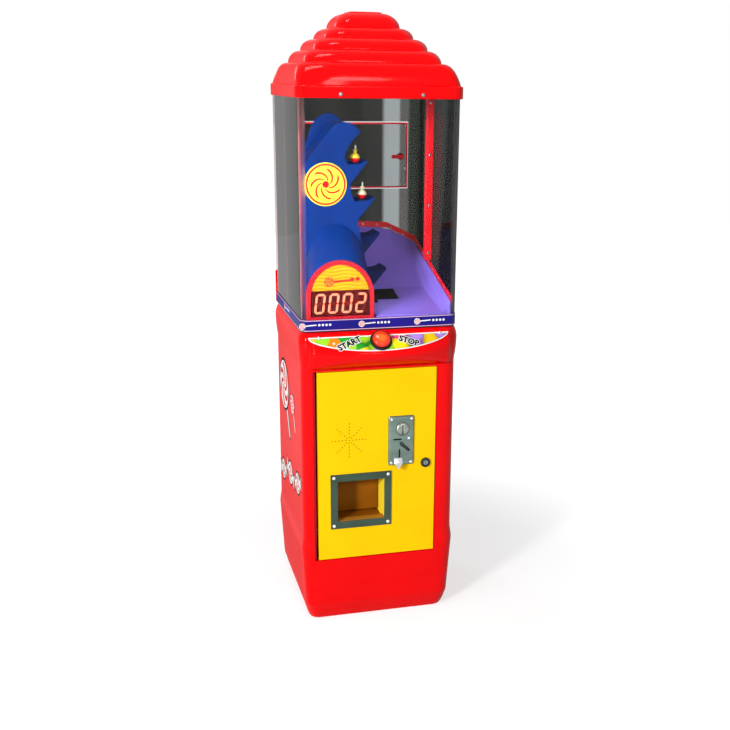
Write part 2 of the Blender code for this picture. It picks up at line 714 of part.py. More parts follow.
def arch(x, half, foot, spring, top, steps=ARCH_STEPS):
    """An arched outline: upright sides to the spring line, then half an ellipse."""
    points = [(x - half, foot), (x + half, foot)]
    for i in range(steps + 1):
        angle = math.pi * i / steps
        points.append((x + half * math.cos(angle), spring + (top - spring) * math.sin(angle)))
    return points


def plinth_and_floor():
    levels = [(-PLINTH_FOOT_INSET - PLINTH_FOOT_ROUND / 2, 0.0),
              (-PLINTH_FOOT_INSET, PLINTH_FOOT_ROUND),
              (-(PLINTH_FOOT_INSET + PLINTH_FOLD_INSET) / 2, PLINTH_FOLD_HEIGHT / 2),
              (-PLINTH_FOLD_INSET, PLINTH_FOLD_HEIGHT),
              (-PLINTH_TOP_INSET, PLINTH_TOP)]
    walled_loft("plinth", levels, CABINET_WALL, "red_gloss")
    inset = levels[0][0] - CABINET_WALL - GAP
    outline = rounded_rectangle(HALF_X + inset, HALF_Y + inset, CORNER_RADIUS - CABINET_WALL)
    plate("base_plate", [outline], BASE_PLATE_THICKNESS, (0.0, 0.0, BASE_PLATE_THICKNESS / 2), "steel", UPRIGHT)


def cabinet_shell():
    shell = walled_loft("cabinet_shell", SHELL_LEVELS, CABINET_WALL, "red_gloss")
    boolean(shell, box("door_cut", (OPENING_LEFT, -HALF_Y - OVERRUN, OPENING_BOTTOM),
                       (OPENING_RIGHT, -HALF_Y + OVERRUN, OPENING_TOP)))
    boolean(shell, box("inlet_cut",
                       (INLET_X - INLET_BODY_WIDTH / 2 - GAP, HALF_Y - OVERRUN, INLET_Z - INLET_BODY_HEIGHT / 2 - GAP),
                       (INLET_X + INLET_BODY_WIDTH / 2 + GAP, HALF_Y + OVERRUN,
                        INLET_Z + INLET_BODY_HEIGHT / 2 + GAP)))


def door_jamb():
    jamb = box("door_jamb", (OPENING_LEFT - JAMB_LEFT_BORDER, JAMB_FRONT, OPENING_BOTTOM - JAMB_BORDER),
               (OPENING_RIGHT + JAMB_BORDER, JAMB_BACK, OPENING_TOP + JAMB_BORDER), "red_trim")
    boolean(jamb, box("jamb_pocket_cut", (OPENING_LEFT, JAMB_FRONT - OVERRUN, OPENING_BOTTOM),
                      (OPENING_RIGHT, JAMB_STOP_FRONT, OPENING_TOP)))
    boolean(jamb, box("jamb_through_cut",
                      (OPENING_LEFT + JAMB_STOP, JAMB_FRONT - OVERRUN, OPENING_BOTTOM + JAMB_STOP),
                      (OPENING_RIGHT - JAMB_STOP, JAMB_BACK + OVERRUN, OPENING_TOP - JAMB_STOP)))
    boolean(jamb, box("jamb_relief_cut", (OPENING_LEFT + JAMB_STOP, JAMB_STOP_FRONT - GAP, OPENING_BOTTOM),
                      (HINGE_X + HINGE_RELIEF, JAMB_BACK + OVERRUN, OPENING_TOP)))
    for name, edge, away in (("door_pin_upper", OPENING_TOP, 1), ("door_pin_lower", OPENING_BOTTOM, -1)):
        start = (HINGE_X, HINGE_Y, edge + away * HINGE_PIN_IN_JAMB)
        end = (HINGE_X, HINGE_Y, edge + away * (HINGE_PIN_IN_JAMB - HINGE_PIN_LENGTH))
        rod(name, start, end, HINGE_PIN_RADIUS, "steel")
        hole = rod(name + "_cut", start, end, HINGE_PIN_RADIUS + GAP, "steel")
        boolean(jamb, hole)


def door_panel():
    holes = [rectangle(PRIZE_LEFT - PRIZE_BOX_WALL - GAP, PRIZE_RIGHT + PRIZE_BOX_WALL + GAP,
                       PRIZE_BOTTOM - PRIZE_BOX_WALL - GAP, PRIZE_TOP + PRIZE_BOX_WALL + GAP),
             rectangle(COIN_LEFT + COIN_MECH_MARGIN_X - GAP, COIN_RIGHT - COIN_MECH_MARGIN_X + GAP,
                       COIN_BOTTOM + COIN_MECH_MARGIN_Z - GAP, COIN_TOP - COIN_MECH_MARGIN_Z + GAP),
             circle(LOCK_X, LOCK_Z, LOCK_BARREL_RADIUS + GAP, 20),
             circle(SPEAKER_X, SPEAKER_Z, SPEAKER_HOLE_RADIUS, 6)]
    for arm in range(SPEAKER_ARMS):
        angle = math.tau * arm / SPEAKER_ARMS
        for step in range(1, SPEAKER_HOLES_PER_ARM + 1):
            holes.append(circle(SPEAKER_X + step * SPEAKER_HOLE_STEP * math.cos(angle),
                                SPEAKER_Z + step * SPEAKER_HOLE_STEP * math.sin(angle), SPEAKER_HOLE_RADIUS, 6,
                                SPEAKER_HOLE_TURN * (arm + 1) + SPEAKER_HOLE_TURN * step / 3))
    outline = rectangle(DOOR_LEFT, DOOR_RIGHT, DOOR_BOTTOM, DOOR_TOP)
    panel = plate("door_panel", [outline] + holes, DOOR_THICKNESS,
                  (0.0, DOOR_FRONT + DOOR_THICKNESS / 2, 0.0), "yellow_paint")
    boolean(panel, box("door_hollow_cut",
                       (DOOR_LEFT + DOOR_SKIN, DOOR_FRONT + DOOR_SKIN, DOOR_BOTTOM + DOOR_SKIN),
                       (DOOR_RIGHT - DOOR_SKIN, DOOR_BACK + OVERRUN, DOOR_TOP - DOOR_SKIN)))
    hinge_cut = rod("door_hinge_cut", (HINGE_X, HINGE_Y, DOOR_BOTTOM - OVERRUN), (HINGE_X, HINGE_Y, DOOR_TOP + OVERRUN),
                    HINGE_PIN_RADIUS + RUN_GAP)
    boolean(panel, hinge_cut)


def speaker():
    back = DOOR_FRONT + DOOR_SKIN + GAP
    turned("speaker", [(0.0, SPEAKER_DEPTH), (SPEAKER_MAGNET_RADIUS, SPEAKER_DEPTH),
                       (SPEAKER_MAGNET_RADIUS, SPEAKER_DEPTH * 0.6),
                       (SPEAKER_RADIUS * 0.85, SPEAKER_FLANGE), (SPEAKER_RADIUS, SPEAKER_FLANGE),
                       (SPEAKER_RADIUS, 0.0), (SPEAKER_RADIUS * 0.85, 0.0),
                       (SPEAKER_RADIUS * 0.3, SPEAKER_DEPTH * 0.5), (0.0, SPEAKER_DEPTH * 0.55)],
           (SPEAKER_X, back, SPEAKER_Z), (0.0, 1.0, 0.0), "black_plastic", 20)


def prize_unit():
    front = DOOR_FRONT - GAP
    frame_outline = rectangle(PRIZE_LEFT - PRIZE_FRAME_BORDER_X, PRIZE_RIGHT + PRIZE_FRAME_BORDER_X,
                              PRIZE_BOTTOM - PRIZE_FRAME_BORDER_Z, PRIZE_TOP + PRIZE_FRAME_BORDER_Z)
    frame_hole = rectangle(PRIZE_LEFT, PRIZE_RIGHT, PRIZE_BOTTOM, PRIZE_TOP)
    plate("prize_frame", [frame_outline, frame_hole], PRIZE_FRAME_THICKNESS,
          (0.0, front - PRIZE_FRAME_THICKNESS / 2, 0.0), "frame_metal")
    wall = PRIZE_BOX_WALL
    bin_box = box("prize_box", (PRIZE_LEFT - wall, DOOR_FRONT, PRIZE_BOTTOM - wall),
                  (PRIZE_RIGHT + wall, PRIZE_BOX_BACK, PRIZE_TOP + wall), "yellow_paint")
    boolean(bin_box, box("prize_hollow_cut", (PRIZE_LEFT, DOOR_FRONT - OVERRUN, PRIZE_BOTTOM),
                         (PRIZE_RIGHT, PRIZE_BOX_BACK - wall, PRIZE_TOP)))
    mouth = PRIZE_CHUTE_MOUTH / 2
    boolean(bin_box, box("prize_mouth_cut",
                         (TUBE_END_X - mouth, TUBE_END_Y - mouth, PRIZE_TOP - wall),
                         (TUBE_END_X + mouth, TUBE_END_Y + mouth, PRIZE_TOP + wall + OVERRUN)))
    flap_left = PRIZE_LEFT + PRIZE_FLAP_SIDE_GAP
    flap_right = PRIZE_RIGHT - PRIZE_FLAP_SIDE_GAP
    axis_z = PRIZE_TOP - PRIZE_FLAP_HINGE_RADIUS - RUN_GAP
    flap = box("prize_flap", (flap_left, FLAP_Y - PRIZE_FLAP_THICKNESS / 2, PRIZE_BOTTOM + PRIZE_FLAP_BOTTOM_GAP),
               (flap_right, FLAP_Y + PRIZE_FLAP_THICKNESS / 2, axis_z), "amber_plastic")
    boolean(flap, rod("flap_roll", (PRIZE_LEFT + RUN_GAP, FLAP_Y, axis_z), (PRIZE_RIGHT - RUN_GAP, FLAP_Y, axis_z),
                      PRIZE_FLAP_HINGE_RADIUS, sides=12), 'UNION')


def coin_unit():
    front = DOOR_FRONT - GAP
    middle_x = (COIN_LEFT + COIN_RIGHT) / 2
    middle_z = (COIN_BOTTOM + COIN_TOP) / 2
    face = front - COIN_PLATE_THICKNESS
    half_x = (COIN_RIGHT - COIN_LEFT) / 2
    half_z = (COIN_TOP - COIN_BOTTOM) / 2
    rings = []
    for inset, y in ((0.0, front), (0.0, front - COIN_PLATE_THICKNESS + COIN_PLATE_BEVEL), (COIN_PLATE_BEVEL, face)):
        rings.append([(x, y, z) for x, z in rounded_rectangle(half_x - inset, half_z - inset,
                                                              COIN_PLATE_BEVEL + GAP, 2, (middle_x, middle_z))])
    coin_plate = loft("coin_plate", rings, "coin_metal")
    slot = box("coin_slot_cut", (COIN_RING_X - COIN_SLOT_WIDTH / 2, face - OVERRUN, COIN_RING_Z - COIN_SLOT_HEIGHT / 2),
               (COIN_RING_X + COIN_SLOT_WIDTH / 2, front + OVERRUN, COIN_RING_Z + COIN_SLOT_HEIGHT / 2))
    boolean(coin_plate, slot)
    ring = turned("coin_entry_ring", [(0.0, COIN_RING_PROUD), (COIN_RING_RADIUS * 0.72, COIN_RING_PROUD),
                                      (COIN_RING_RADIUS, COIN_RING_PROUD * 0.3), (COIN_RING_RADIUS, 0.0), (0.0, 0.0)],
                  (COIN_RING_X, face - GAP, COIN_RING_Z), (0.0, -1.0, 0.0), "chrome", 24)
    boolean(ring, box("ring_slot_cut",
                      (COIN_RING_X - COIN_SLOT_WIDTH / 2, face - OVERRUN, COIN_RING_Z - COIN_SLOT_HEIGHT / 2),
                      (COIN_RING_X + COIN_SLOT_WIDTH / 2, face + GAP, COIN_RING_Z + COIN_SLOT_HEIGHT / 2)))
    mech = box("coin_mechanism", (COIN_LEFT + COIN_MECH_MARGIN_X, DOOR_FRONT, COIN_BOTTOM + COIN_MECH_MARGIN_Z),
               (COIN_RIGHT - COIN_MECH_MARGIN_X, DOOR_FRONT + COIN_MECH_DEPTH, COIN_TOP - COIN_MECH_MARGIN_Z),
               "black_plastic")
    boolean(mech, box("mech_slot_cut",
                      (COIN_RING_X - COIN_SLOT_WIDTH, DOOR_FRONT - OVERRUN, COIN_RING_Z - COIN_SLOT_HEIGHT / 2 - GAP),
                      (COIN_RING_X + COIN_SLOT_WIDTH, DOOR_FRONT + COIN_MECH_DEPTH * 0.6,
                       COIN_RING_Z + COIN_SLOT_HEIGHT / 2 + GAP)))
    hub = turned("coin_return_lever", [(0.0, COIN_LEVER_PROUD), (COIN_LEVER_HUB_RADIUS, COIN_LEVER_PROUD),
                                       (COIN_LEVER_HUB_RADIUS, 0.0), (0.0, 0.0)],
                 (COIN_LEVER_X, face - GAP, COIN_LEVER_Z), (0.0, -1.0, 0.0), "chrome", 16)
    arm = box("coin_lever_arm", (0.0, -COIN_LEVER_PROUD - GAP, -COIN_LEVER_WIDTH / 2),
              (COIN_LEVER_LENGTH, -COIN_LEVER_PROUD - GAP + COIN_LEVER_THICKNESS, COIN_LEVER_WIDTH / 2), "chrome")
    turn = Matrix.Rotation(math.radians(-COIN_LEVER_REST_DEG), 4, 'Y')
    arm.matrix_world = Matrix.Translation((COIN_LEVER_X, face, COIN_LEVER_Z)) @ turn @ arm.matrix_world
    boolean(hub, arm, 'UNION')
    cup = box("coin_return_cup",
              (COIN_CUP_X - COIN_CUP_WIDTH / 2, face - GAP - COIN_CUP_DEPTH, COIN_CUP_Z - COIN_CUP_HEIGHT / 2),
              (COIN_CUP_X + COIN_CUP_WIDTH / 2, face - GAP, COIN_CUP_Z + COIN_CUP_HEIGHT / 2), "chrome")
    wall = COIN_CUP_WALL
    boolean(cup, box("coin_cup_cut",
                     (COIN_CUP_X - COIN_CUP_WIDTH / 2 + wall, face - COIN_CUP_DEPTH + wall,
                      COIN_CUP_Z - COIN_CUP_HEIGHT / 2 + wall),
                     (COIN_CUP_X + COIN_CUP_WIDTH / 2 - wall, face - GAP - wall,
                      COIN_CUP_Z + COIN_CUP_HEIGHT / 2 + OVERRUN)))


def door_lock():
    front = DOOR_FRONT - GAP
    bore = LOCK_PLUG_RADIUS + RUN_GAP
    turned("lock_barrel", [(bore, LOCK_FLANGE_THICKNESS), (LOCK_FLANGE_RADIUS * 0.85, LOCK_FLANGE_THICKNESS),
                           (LOCK_FLANGE_RADIUS, LOCK_FLANGE_THICKNESS / 2), (LOCK_FLANGE_RADIUS, 0.0),
                           (LOCK_BARREL_RADIUS, 0.0), (LOCK_BARREL_RADIUS, -LOCK_BARREL_LENGTH),
                           (bore, -LOCK_BARREL_LENGTH)],
           (LOCK_X, front, LOCK_Z), (0.0, -1.0, 0.0), "chrome", 24)
    plug_back = front + LOCK_BARREL_LENGTH + GAP
    cam = rod("lock_cam", (LOCK_X, front - LOCK_FLANGE_THICKNESS, LOCK_Z),
              (LOCK_X, plug_back + LOCK_CAM_THICKNESS, LOCK_Z), LOCK_PLUG_RADIUS, "chrome", 20)
    boolean(cam, box("cam_tongue", (LOCK_X - LOCK_CAM_WIDTH / 2, plug_back, LOCK_Z - LOCK_CAM_LENGTH),
                     (LOCK_X + LOCK_CAM_WIDTH / 2, plug_back + LOCK_CAM_THICKNESS, LOCK_Z + LOCK_CAM_WIDTH / 2)),
            'UNION')


def shelf_bow(x):
    """How far the shelf's nose stands out at a place across the front."""
    share = min(abs(x) / SHELF_HALF, 1.0)
    return SHELF_END_BOW + (SHELF_BOW - SHELF_END_BOW) * (1.0 - share ** 2.4)


def shelf_point(x, drop_share, reach_share, proud=0.0):
    reach = SHELF_FACE_Y - shelf_bow(x) * reach_share
    height = SHELF_TOP - (SHELF_TOP - SHELF_BOTTOM) * drop_share
    normal = slant_normal(x)
    return (x, reach + proud * normal.y, height + proud * normal.z)


def slant_normal(x):
    """Outward direction of the slanted face, seen from the side."""
    run = shelf_bow(x) * (SHELF_REACH_SHARES[2] - SHELF_REACH_SHARES[1])
    fall = (SHELF_TOP - SHELF_BOTTOM) * (SHELF_DROP_SHARES[2] - SHELF_DROP_SHARES[1])
    return Vector((0.0, -fall, run)).normalized()


def slant_point(x, share, proud=0.0):
    """A point on the slanted face, from its upper edge at share 0 to its lower edge at share 1."""
    drop = SHELF_DROP_SHARES[1] + (SHELF_DROP_SHARES[2] - SHELF_DROP_SHARES[1]) * share
    reach = SHELF_REACH_SHARES[1] + (SHELF_REACH_SHARES[2] - SHELF_REACH_SHARES[1]) * share
    return shelf_point(x, drop, reach, proud)


def shell_seat(height):
    """Where a piece seated on the shell's front face begins, at a given height."""
    for (low_offset, low), (high_offset, high) in zip(SHELL_LEVELS, SHELL_LEVELS[1:]):
        if height <= high:
            share = (height - low) / (high - low)
            return -HALF_Y - SHELF_SEAT_GAP - low_offset - (high_offset - low_offset) * share
    return -HALF_Y - SHELF_SEAT_GAP


def control_shelf():
    places = [SHELF_HALF * (2 * i / SHELF_COLUMNS - 1) for i in range(SHELF_COLUMNS + 1)]
    ends = (places[0], places[-1])
    rows = [[(x, shell_seat(SHELF_TOP - SHELF_WALL), SHELF_TOP) for x in (ends[0], *places, ends[1])]]
    for drop, reach in zip(SHELF_DROP_SHARES, SHELF_REACH_SHARES):
        row = [shelf_point(x, drop, reach) for x in places]
        height = row[0][2]
        clear_of_shell = -HALF_Y - SHOULDER_PROUD - SHELF_SEAT_GAP
        rows.append([(ends[0], clear_of_shell, height), *row, (ends[1], clear_of_shell, height)])
    rows[1][0], rows[1][-1] = rows[0][0], rows[0][-1]
    rows[-1][0] = (ends[0], shell_seat(SHELF_BOTTOM), SHELF_BOTTOM)
    rows[-1][-1] = (ends[1], shell_seat(SHELF_BOTTOM), SHELF_BOTTOM)
    rows.append([(x, shell_seat(SHELF_BOTTOM), SHELF_BOTTOM) for x in (ends[0], *places, ends[1])])
    shelf = skin("control_shelf", rows, SHELF_WALL, "red_gloss", offset=1.0)
    decal_rows = []
    for level in range(4):
        row = []
        for i in range(DECAL_COLUMNS + 1):
            across = 2 * i / DECAL_COLUMNS - 1
            depth = DECAL_DEPTH_SHARE * max((1.0 - across ** 2) ** 0.6, 0.06)
            row.append(slant_point(DECAL_X + DECAL_HALF * across, DECAL_TOP_SHARE + depth * level / 3, DECAL_GAP))
        decal_rows.append(row)
    decal = skin("control_decal", decal_rows, DECAL_THICKNESS, "decal_print", offset=-1.0)
    centre = Vector(slant_point(BUTTON_X, BUTTON_SHARE))
    normal = slant_normal(BUTTON_X)
    seat = centre + normal * (DECAL_GAP + DECAL_THICKNESS + GAP)
    for target, radius in ((shelf, BUTTON_BARREL_RADIUS + GAP), (decal, BUTTON_BARREL_RADIUS + GAP)):
        boolean(target, rod(target.name + "_button_cut", centre - normal * OVERRUN * 2, centre + normal * OVERRUN,
                            radius, sides=20))
    turned("button_bezel", [(BUTTON_CAP_RADIUS + RUN_GAP, BUTTON_BEZEL_HEIGHT),
                            (BUTTON_BEZEL_RADIUS * 0.93, BUTTON_BEZEL_HEIGHT),
                            (BUTTON_BEZEL_RADIUS, BUTTON_BEZEL_HEIGHT / 2), (BUTTON_BEZEL_RADIUS, 0.0),
                            (BUTTON_BARREL_RADIUS, 0.0), (BUTTON_BARREL_RADIUS, -BUTTON_BARREL_LENGTH),
                            (BUTTON_STEM_RADIUS + RUN_GAP, -BUTTON_BARREL_LENGTH),
                            (BUTTON_STEM_RADIUS + RUN_GAP, BUTTON_FLOOR),
                            (BUTTON_CAP_RADIUS + RUN_GAP, BUTTON_FLOOR)],
           seat, normal, "black_plastic", 24)
    low = BUTTON_FLOOR + BUTTON_TRAVEL + GAP
    dome = [(BUTTON_CAP_RADIUS * math.cos(a), low + BUTTON_CAP_HEIGHT * (0.35 + 0.65 * math.sin(a)))
            for a in (math.pi / 2 * (1 - i / 4) for i in range(5))]
    dome[0] = (0.0, dome[0][1])
    turned("start_button", dome + [(BUTTON_CAP_RADIUS, low), (BUTTON_STEM_RADIUS, low),
                                   (BUTTON_STEM_RADIUS, low - BUTTON_STEM_LENGTH), (0.0, low - BUTTON_STEM_LENGTH)],
           seat, normal, "button_orange", 24)
    frame = normal.to_track_quat('Z', 'X').to_matrix().to_4x4()
    half = SWITCH_SIZE / 2
    top = -BUTTON_BARREL_LENGTH - GAP
    switch = box("start_switch", (-half, -half, top - SWITCH_DEPTH), (half, half, top), "grey_plastic")
    switch.matrix_world = Matrix.Translation(seat) @ frame @ switch.matrix_world


def case_path(half, radius, rear):
    """Plan of the case from its rear right end, round the front, to its rear left end."""
    points = [(half, rear)]
    points += arc((half - radius, -half + radius), radius, 0, -90, CORNER_STEPS + 1)
    points += arc((-half + radius, -half + radius), radius, -90, -180, CORNER_STEPS + 1)
    points.append((-half, rear))
    return points


def bent_sheet(name, half, radius, rear, thickness, bottom, top, finish):
    outer = case_path(half, radius, rear)
    inner = case_path(half - thickness, radius - thickness, rear)
    middle = (bottom + top) / 2
    return plate(name, [outer + inner[::-1]], top - bottom, (0.0, 0.0, middle), finish, UPRIGHT)


def clear_case():
    bent_sheet("case_front", CASE_HALF, CASE_CORNER_RADIUS, CASE_JOINT_Y - GAP, CASE_WALL, STAND_Z, CASE_TOP,
               "clear_acrylic")
    bent_sheet("case_band", CASE_HALF + GAP + BAND_THICKNESS, CASE_CORNER_RADIUS + GAP + BAND_THICKNESS,
               CASE_REAR - CASE_WALL, BAND_THICKNESS, STAND_Z, STAND_Z + BAND_HEIGHT, "band_print")
    back_inner = CASE_REAR - CASE_WALL
    for side, name in ((-1, "case_side_left"), (1, "case_side_right")):
        edges = sorted((side * CASE_HALF, side * CASE_INNER))
        box(name, (edges[0], CASE_JOINT_Y, STAND_Z), (edges[1], back_inner - GAP, CASE_TOP), "clear_acrylic")
    opening = rectangle(-REAR_DOOR_HALF - REAR_DOOR_GAP, REAR_DOOR_HALF + REAR_DOOR_GAP,
                        REAR_DOOR_BOTTOM - REAR_DOOR_GAP, REAR_DOOR_TOP + REAR_DOOR_GAP)
    plate("case_back", [rectangle(-CASE_BACK_HALF, CASE_BACK_HALF, STAND_Z, CASE_TOP), opening], CASE_WALL,
          (0.0, CASE_REAR - CASE_WALL / 2, 0.0), "smoked_acrylic")
    rear = CASE_REAR + GAP
    box("rear_upstand", (-HALF_X, rear, STAND_Z), (HALF_X, rear + UPSTAND_THICKNESS, UPSTAND_TOP), "red_gloss")
    post_outer = CASE_INNER - GAP
    for side, name, foot in ((-1, "case_post_left", STAND_Z), (1, "case_post_right", rim_height(CASE_JOINT_Y + POST_SIZE)
                                                                + GAP)):
        edges = sorted((side * post_outer, side * (post_outer - POST_SIZE)))
        box(name, (edges[0], CASE_JOINT_Y - POST_SIZE / 2, foot),
            (edges[1], CASE_JOINT_Y + POST_SIZE / 2, CASE_TOP), "red_trim")


def rear_door():
    back_inner = CASE_REAR - CASE_WALL
    shaft = circle(REAR_LATCH_X, REAR_LATCH_Z, REAR_LATCH_SHAFT_RADIUS + RUN_GAP, 16)
    plate("rear_door", [rectangle(-REAR_DOOR_HALF, REAR_DOOR_HALF, REAR_DOOR_BOTTOM, REAR_DOOR_TOP), shaft], CASE_WALL,
          (0.0, CASE_REAR - CASE_WALL / 2, 0.0), "smoked_acrylic")
    inner = rectangle(-REAR_DOOR_HALF + REAR_TRIM_WIDTH, REAR_DOOR_HALF - REAR_TRIM_WIDTH,
                      REAR_DOOR_BOTTOM + REAR_TRIM_WIDTH, REAR_DOOR_TOP - REAR_TRIM_WIDTH)
    plate("rear_door_trim", [rectangle(-REAR_DOOR_HALF, REAR_DOOR_HALF, REAR_DOOR_BOTTOM, REAR_DOOR_TOP), inner],
          REAR_TRIM_THICKNESS, (0.0, back_inner - GAP - REAR_TRIM_THICKNESS / 2, 0.0), "red_trim")
    pin_x = -REAR_DOOR_HALF - REAR_DOOR_GAP / 2
    pin_y = CASE_REAR + GAP + REAR_PIN_RADIUS
    rod("rear_hinge_pin", (pin_x, pin_y, REAR_DOOR_BOTTOM), (pin_x, pin_y, REAR_DOOR_TOP), REAR_PIN_RADIUS, "steel", 12)
    knob_face = CASE_REAR + GAP
    latch = rod("rear_latch", (REAR_LATCH_X, knob_face, REAR_LATCH_Z),
                (REAR_LATCH_X, knob_face + REAR_KNOB_LENGTH, REAR_LATCH_Z), REAR_KNOB_RADIUS, "red_trim", 20)
    tongue_y = back_inner - GAP * 2 - REAR_TRIM_THICKNESS - REAR_TONGUE_THICKNESS
    boolean(latch, rod("latch_shaft", (REAR_LATCH_X, tongue_y + REAR_TONGUE_THICKNESS / 2, REAR_LATCH_Z),
                       (REAR_LATCH_X, knob_face + REAR_KNOB_LENGTH / 2, REAR_LATCH_Z),
                       REAR_LATCH_SHAFT_RADIUS, sides=16), 'UNION')
    boolean(latch, box("latch_tongue", (REAR_LATCH_X - REAR_TONGUE_LENGTH, tongue_y,
                                        REAR_LATCH_Z - REAR_TONGUE_WIDTH / 2),
                       (REAR_LATCH_X + REAR_TONGUE_WIDTH / 2, tongue_y + REAR_TONGUE_THICKNESS,
                        REAR_LATCH_Z + REAR_TONGUE_WIDTH / 2)), 'UNION')


def roof():
    outer = [(RIM_HALF, RIM_RADIUS, RIM_BOTTOM), (RIM_HALF, RIM_RADIUS, RIM_TOP)]
    for number, half in enumerate(TIER_HALVES):
        foot, top, shoulder = TIER_FEET[number], TIER_TOPS[number], TIER_SHOULDERS[number]
        for step in range(TIER_STEPS + 1):
            angle = math.pi / 2 * step / TIER_STEPS
            across = shoulder + (half - shoulder) * max(math.cos(angle), 0.0) ** TIER_SQUARE_SHARES[number]
            rise = math.sin(angle) ** TIER_SQUARE_SHARES[number]
            outer.append((across, TIER_RADII[number] * across / half, foot + (top - foot) * rise))
    outer.append((ROOF_TOP_HALF, TIER_RADII[-1] * ROOF_TOP_HALF / TIER_HALVES[-1], ROOF_TOP))
    inner = [(RIM_HALF - ROOF_WALL, RIM_RADIUS - ROOF_WALL, RIM_BOTTOM),
             (RIM_HALF - ROOF_WALL, RIM_RADIUS - ROOF_WALL, RIM_TOP - ROOF_WALL)]
    for foot, shoulder, half, radius in zip(TIER_FEET, TIER_SHOULDERS, TIER_HALVES, TIER_RADII):
        across = shoulder - ROOF_WALL * 1.5
        inner.append((across, radius * across / half, foot + ROOF_WALL / 2))
    inner[-1] = (inner[-1][0], inner[-1][1], ROOF_TOP - ROOF_WALL * 1.5)
    rings = [level_ring(half, half, radius, height) for half, radius, height in inner[::-1] + outer]
    shell = loft("roof", rings, "red_gloss")
    tray_half = RIM_HALF - ROOF_WALL - GAP
    outline = rounded_rectangle(tray_half, tray_half, CORNER_RADIUS)
    plate("roof_tray", [outline], TRAY_THICKNESS, (0.0, 0.0, (TRAY_BOTTOM + TRAY_TOP) / 2), "brown_board", UPRIGHT)
    screw_z = (TRAY_BOTTOM + TRAY_TOP) / 2
    for side, name in ((-1, "rim_screw_left"), (1, "rim_screw_right")):
        x = side * RIM_SCREW_X
        head_y = -RIM_HALF - GAP
        screw = turned(name, [(0.0, RIM_SCREW_HEAD), (RIM_SCREW_RADIUS * 0.6, RIM_SCREW_HEAD * 0.85),
                              (RIM_SCREW_RADIUS, 0.0), (RIM_SCREW_SHANK_RADIUS, 0.0),
                              (RIM_SCREW_SHANK_RADIUS, -ROOF_WALL), (0.0, -ROOF_WALL)],
                       (x, head_y, screw_z), (0.0, -1.0, 0.0), "chrome", 14)
        boolean(shell, rod(name + "_cut", (x, head_y - OVERRUN, screw_z), (x, head_y + OVERRUN / 2, screw_z),
                           RIM_SCREW_SHANK_RADIUS + GAP, sides=14))


LIFT_ORIGIN = Vector((FIRST_TIP_X, 0.0, FIRST_TIP_Z))
ALONG = Vector((-math.sin(LEAN), 0.0, math.cos(LEAN)))
ACROSS = Vector((math.cos(LEAN), 0.0, math.sin(LEAN)))


def lift_point(across, along, y=0.0):
    """World place of a point in the lifter's frame: across from the tip line, along it upwards."""
    place = LIFT_ORIGIN + ACROSS * across + ALONG * along
    return Vector((place.x, y, place.z))


def lift_xz(across, along):
    place = lift_point(across, along)
    return (place.x, place.z)


def along_at_height(across, height):
    """How far along the tip line a point at this distance across lies at a given height."""
    return (height - FIRST_TIP_Z - ACROSS.z * across) / ALONG.z


def step_points(index):
    """One step's outline from its root down to the next step's root, as (across, along)."""
    base = -STEP_PITCH * index
    return [(-STEP_WALL_DEPTH, base + STEP_WALL_RISE), (-STEP_NOTCH_DEPTH, base),
            (-STEP_DIP_DEPTH, base - STEP_DIP), (0.0, base), (GAP, base - STEP_NOSE),
            (-STEP_ROOT_DEPTH, base - STEP_ROOT_DROP)]


def fixed_blade_outline():
    bottom = STAND_Z
    points = []
    for index in range(STEP_COUNT):
        points += step_points(index)[1 if index == 0 else 0:]
    last_across = -STEP_ROOT_DEPTH
    points.append((last_across, along_at_height(last_across, bottom)))
    points.append((-FIXED_SPINE_DEPTH, along_at_height(-FIXED_SPINE_DEPTH, bottom)))
    points.append((-FIXED_SPINE_DEPTH, -ARM_HEIGHT - ARM_DROP / 2))
    points.append((-ARM_REACH, -ARM_DROP - ARM_HEIGHT))
    points.append((-ARM_REACH, -ARM_DROP))
    return [lift_xz(*point) for point in points]


def moving_blade_outline():
    points = []
    for index in range(1, STEP_COUNT):
        points += step_points(index)[1 if index == 1 else 0:]
    points.append((-STEP_ROOT_DEPTH, along_at_height(-STEP_ROOT_DEPTH, MOVING_BOTTOM)))
    points.append((-MOVING_SPINE_FAR, along_at_height(-MOVING_SPINE_FAR, MOVING_BOTTOM)))
    points.append((-MOVING_SPINE_FAR, -SPINE_HEAD_DROP))
    points.append((-FIXED_SPINE_DEPTH, -SPINE_HEAD_DROP))
    points.append((-FIXED_SPINE_DEPTH, -STEP_PITCH - FIXED_CAP_RISE))
    return [lift_xz(*point) for point in points]


def lane_y(number):
    return BAY_FRONT + LANE * number


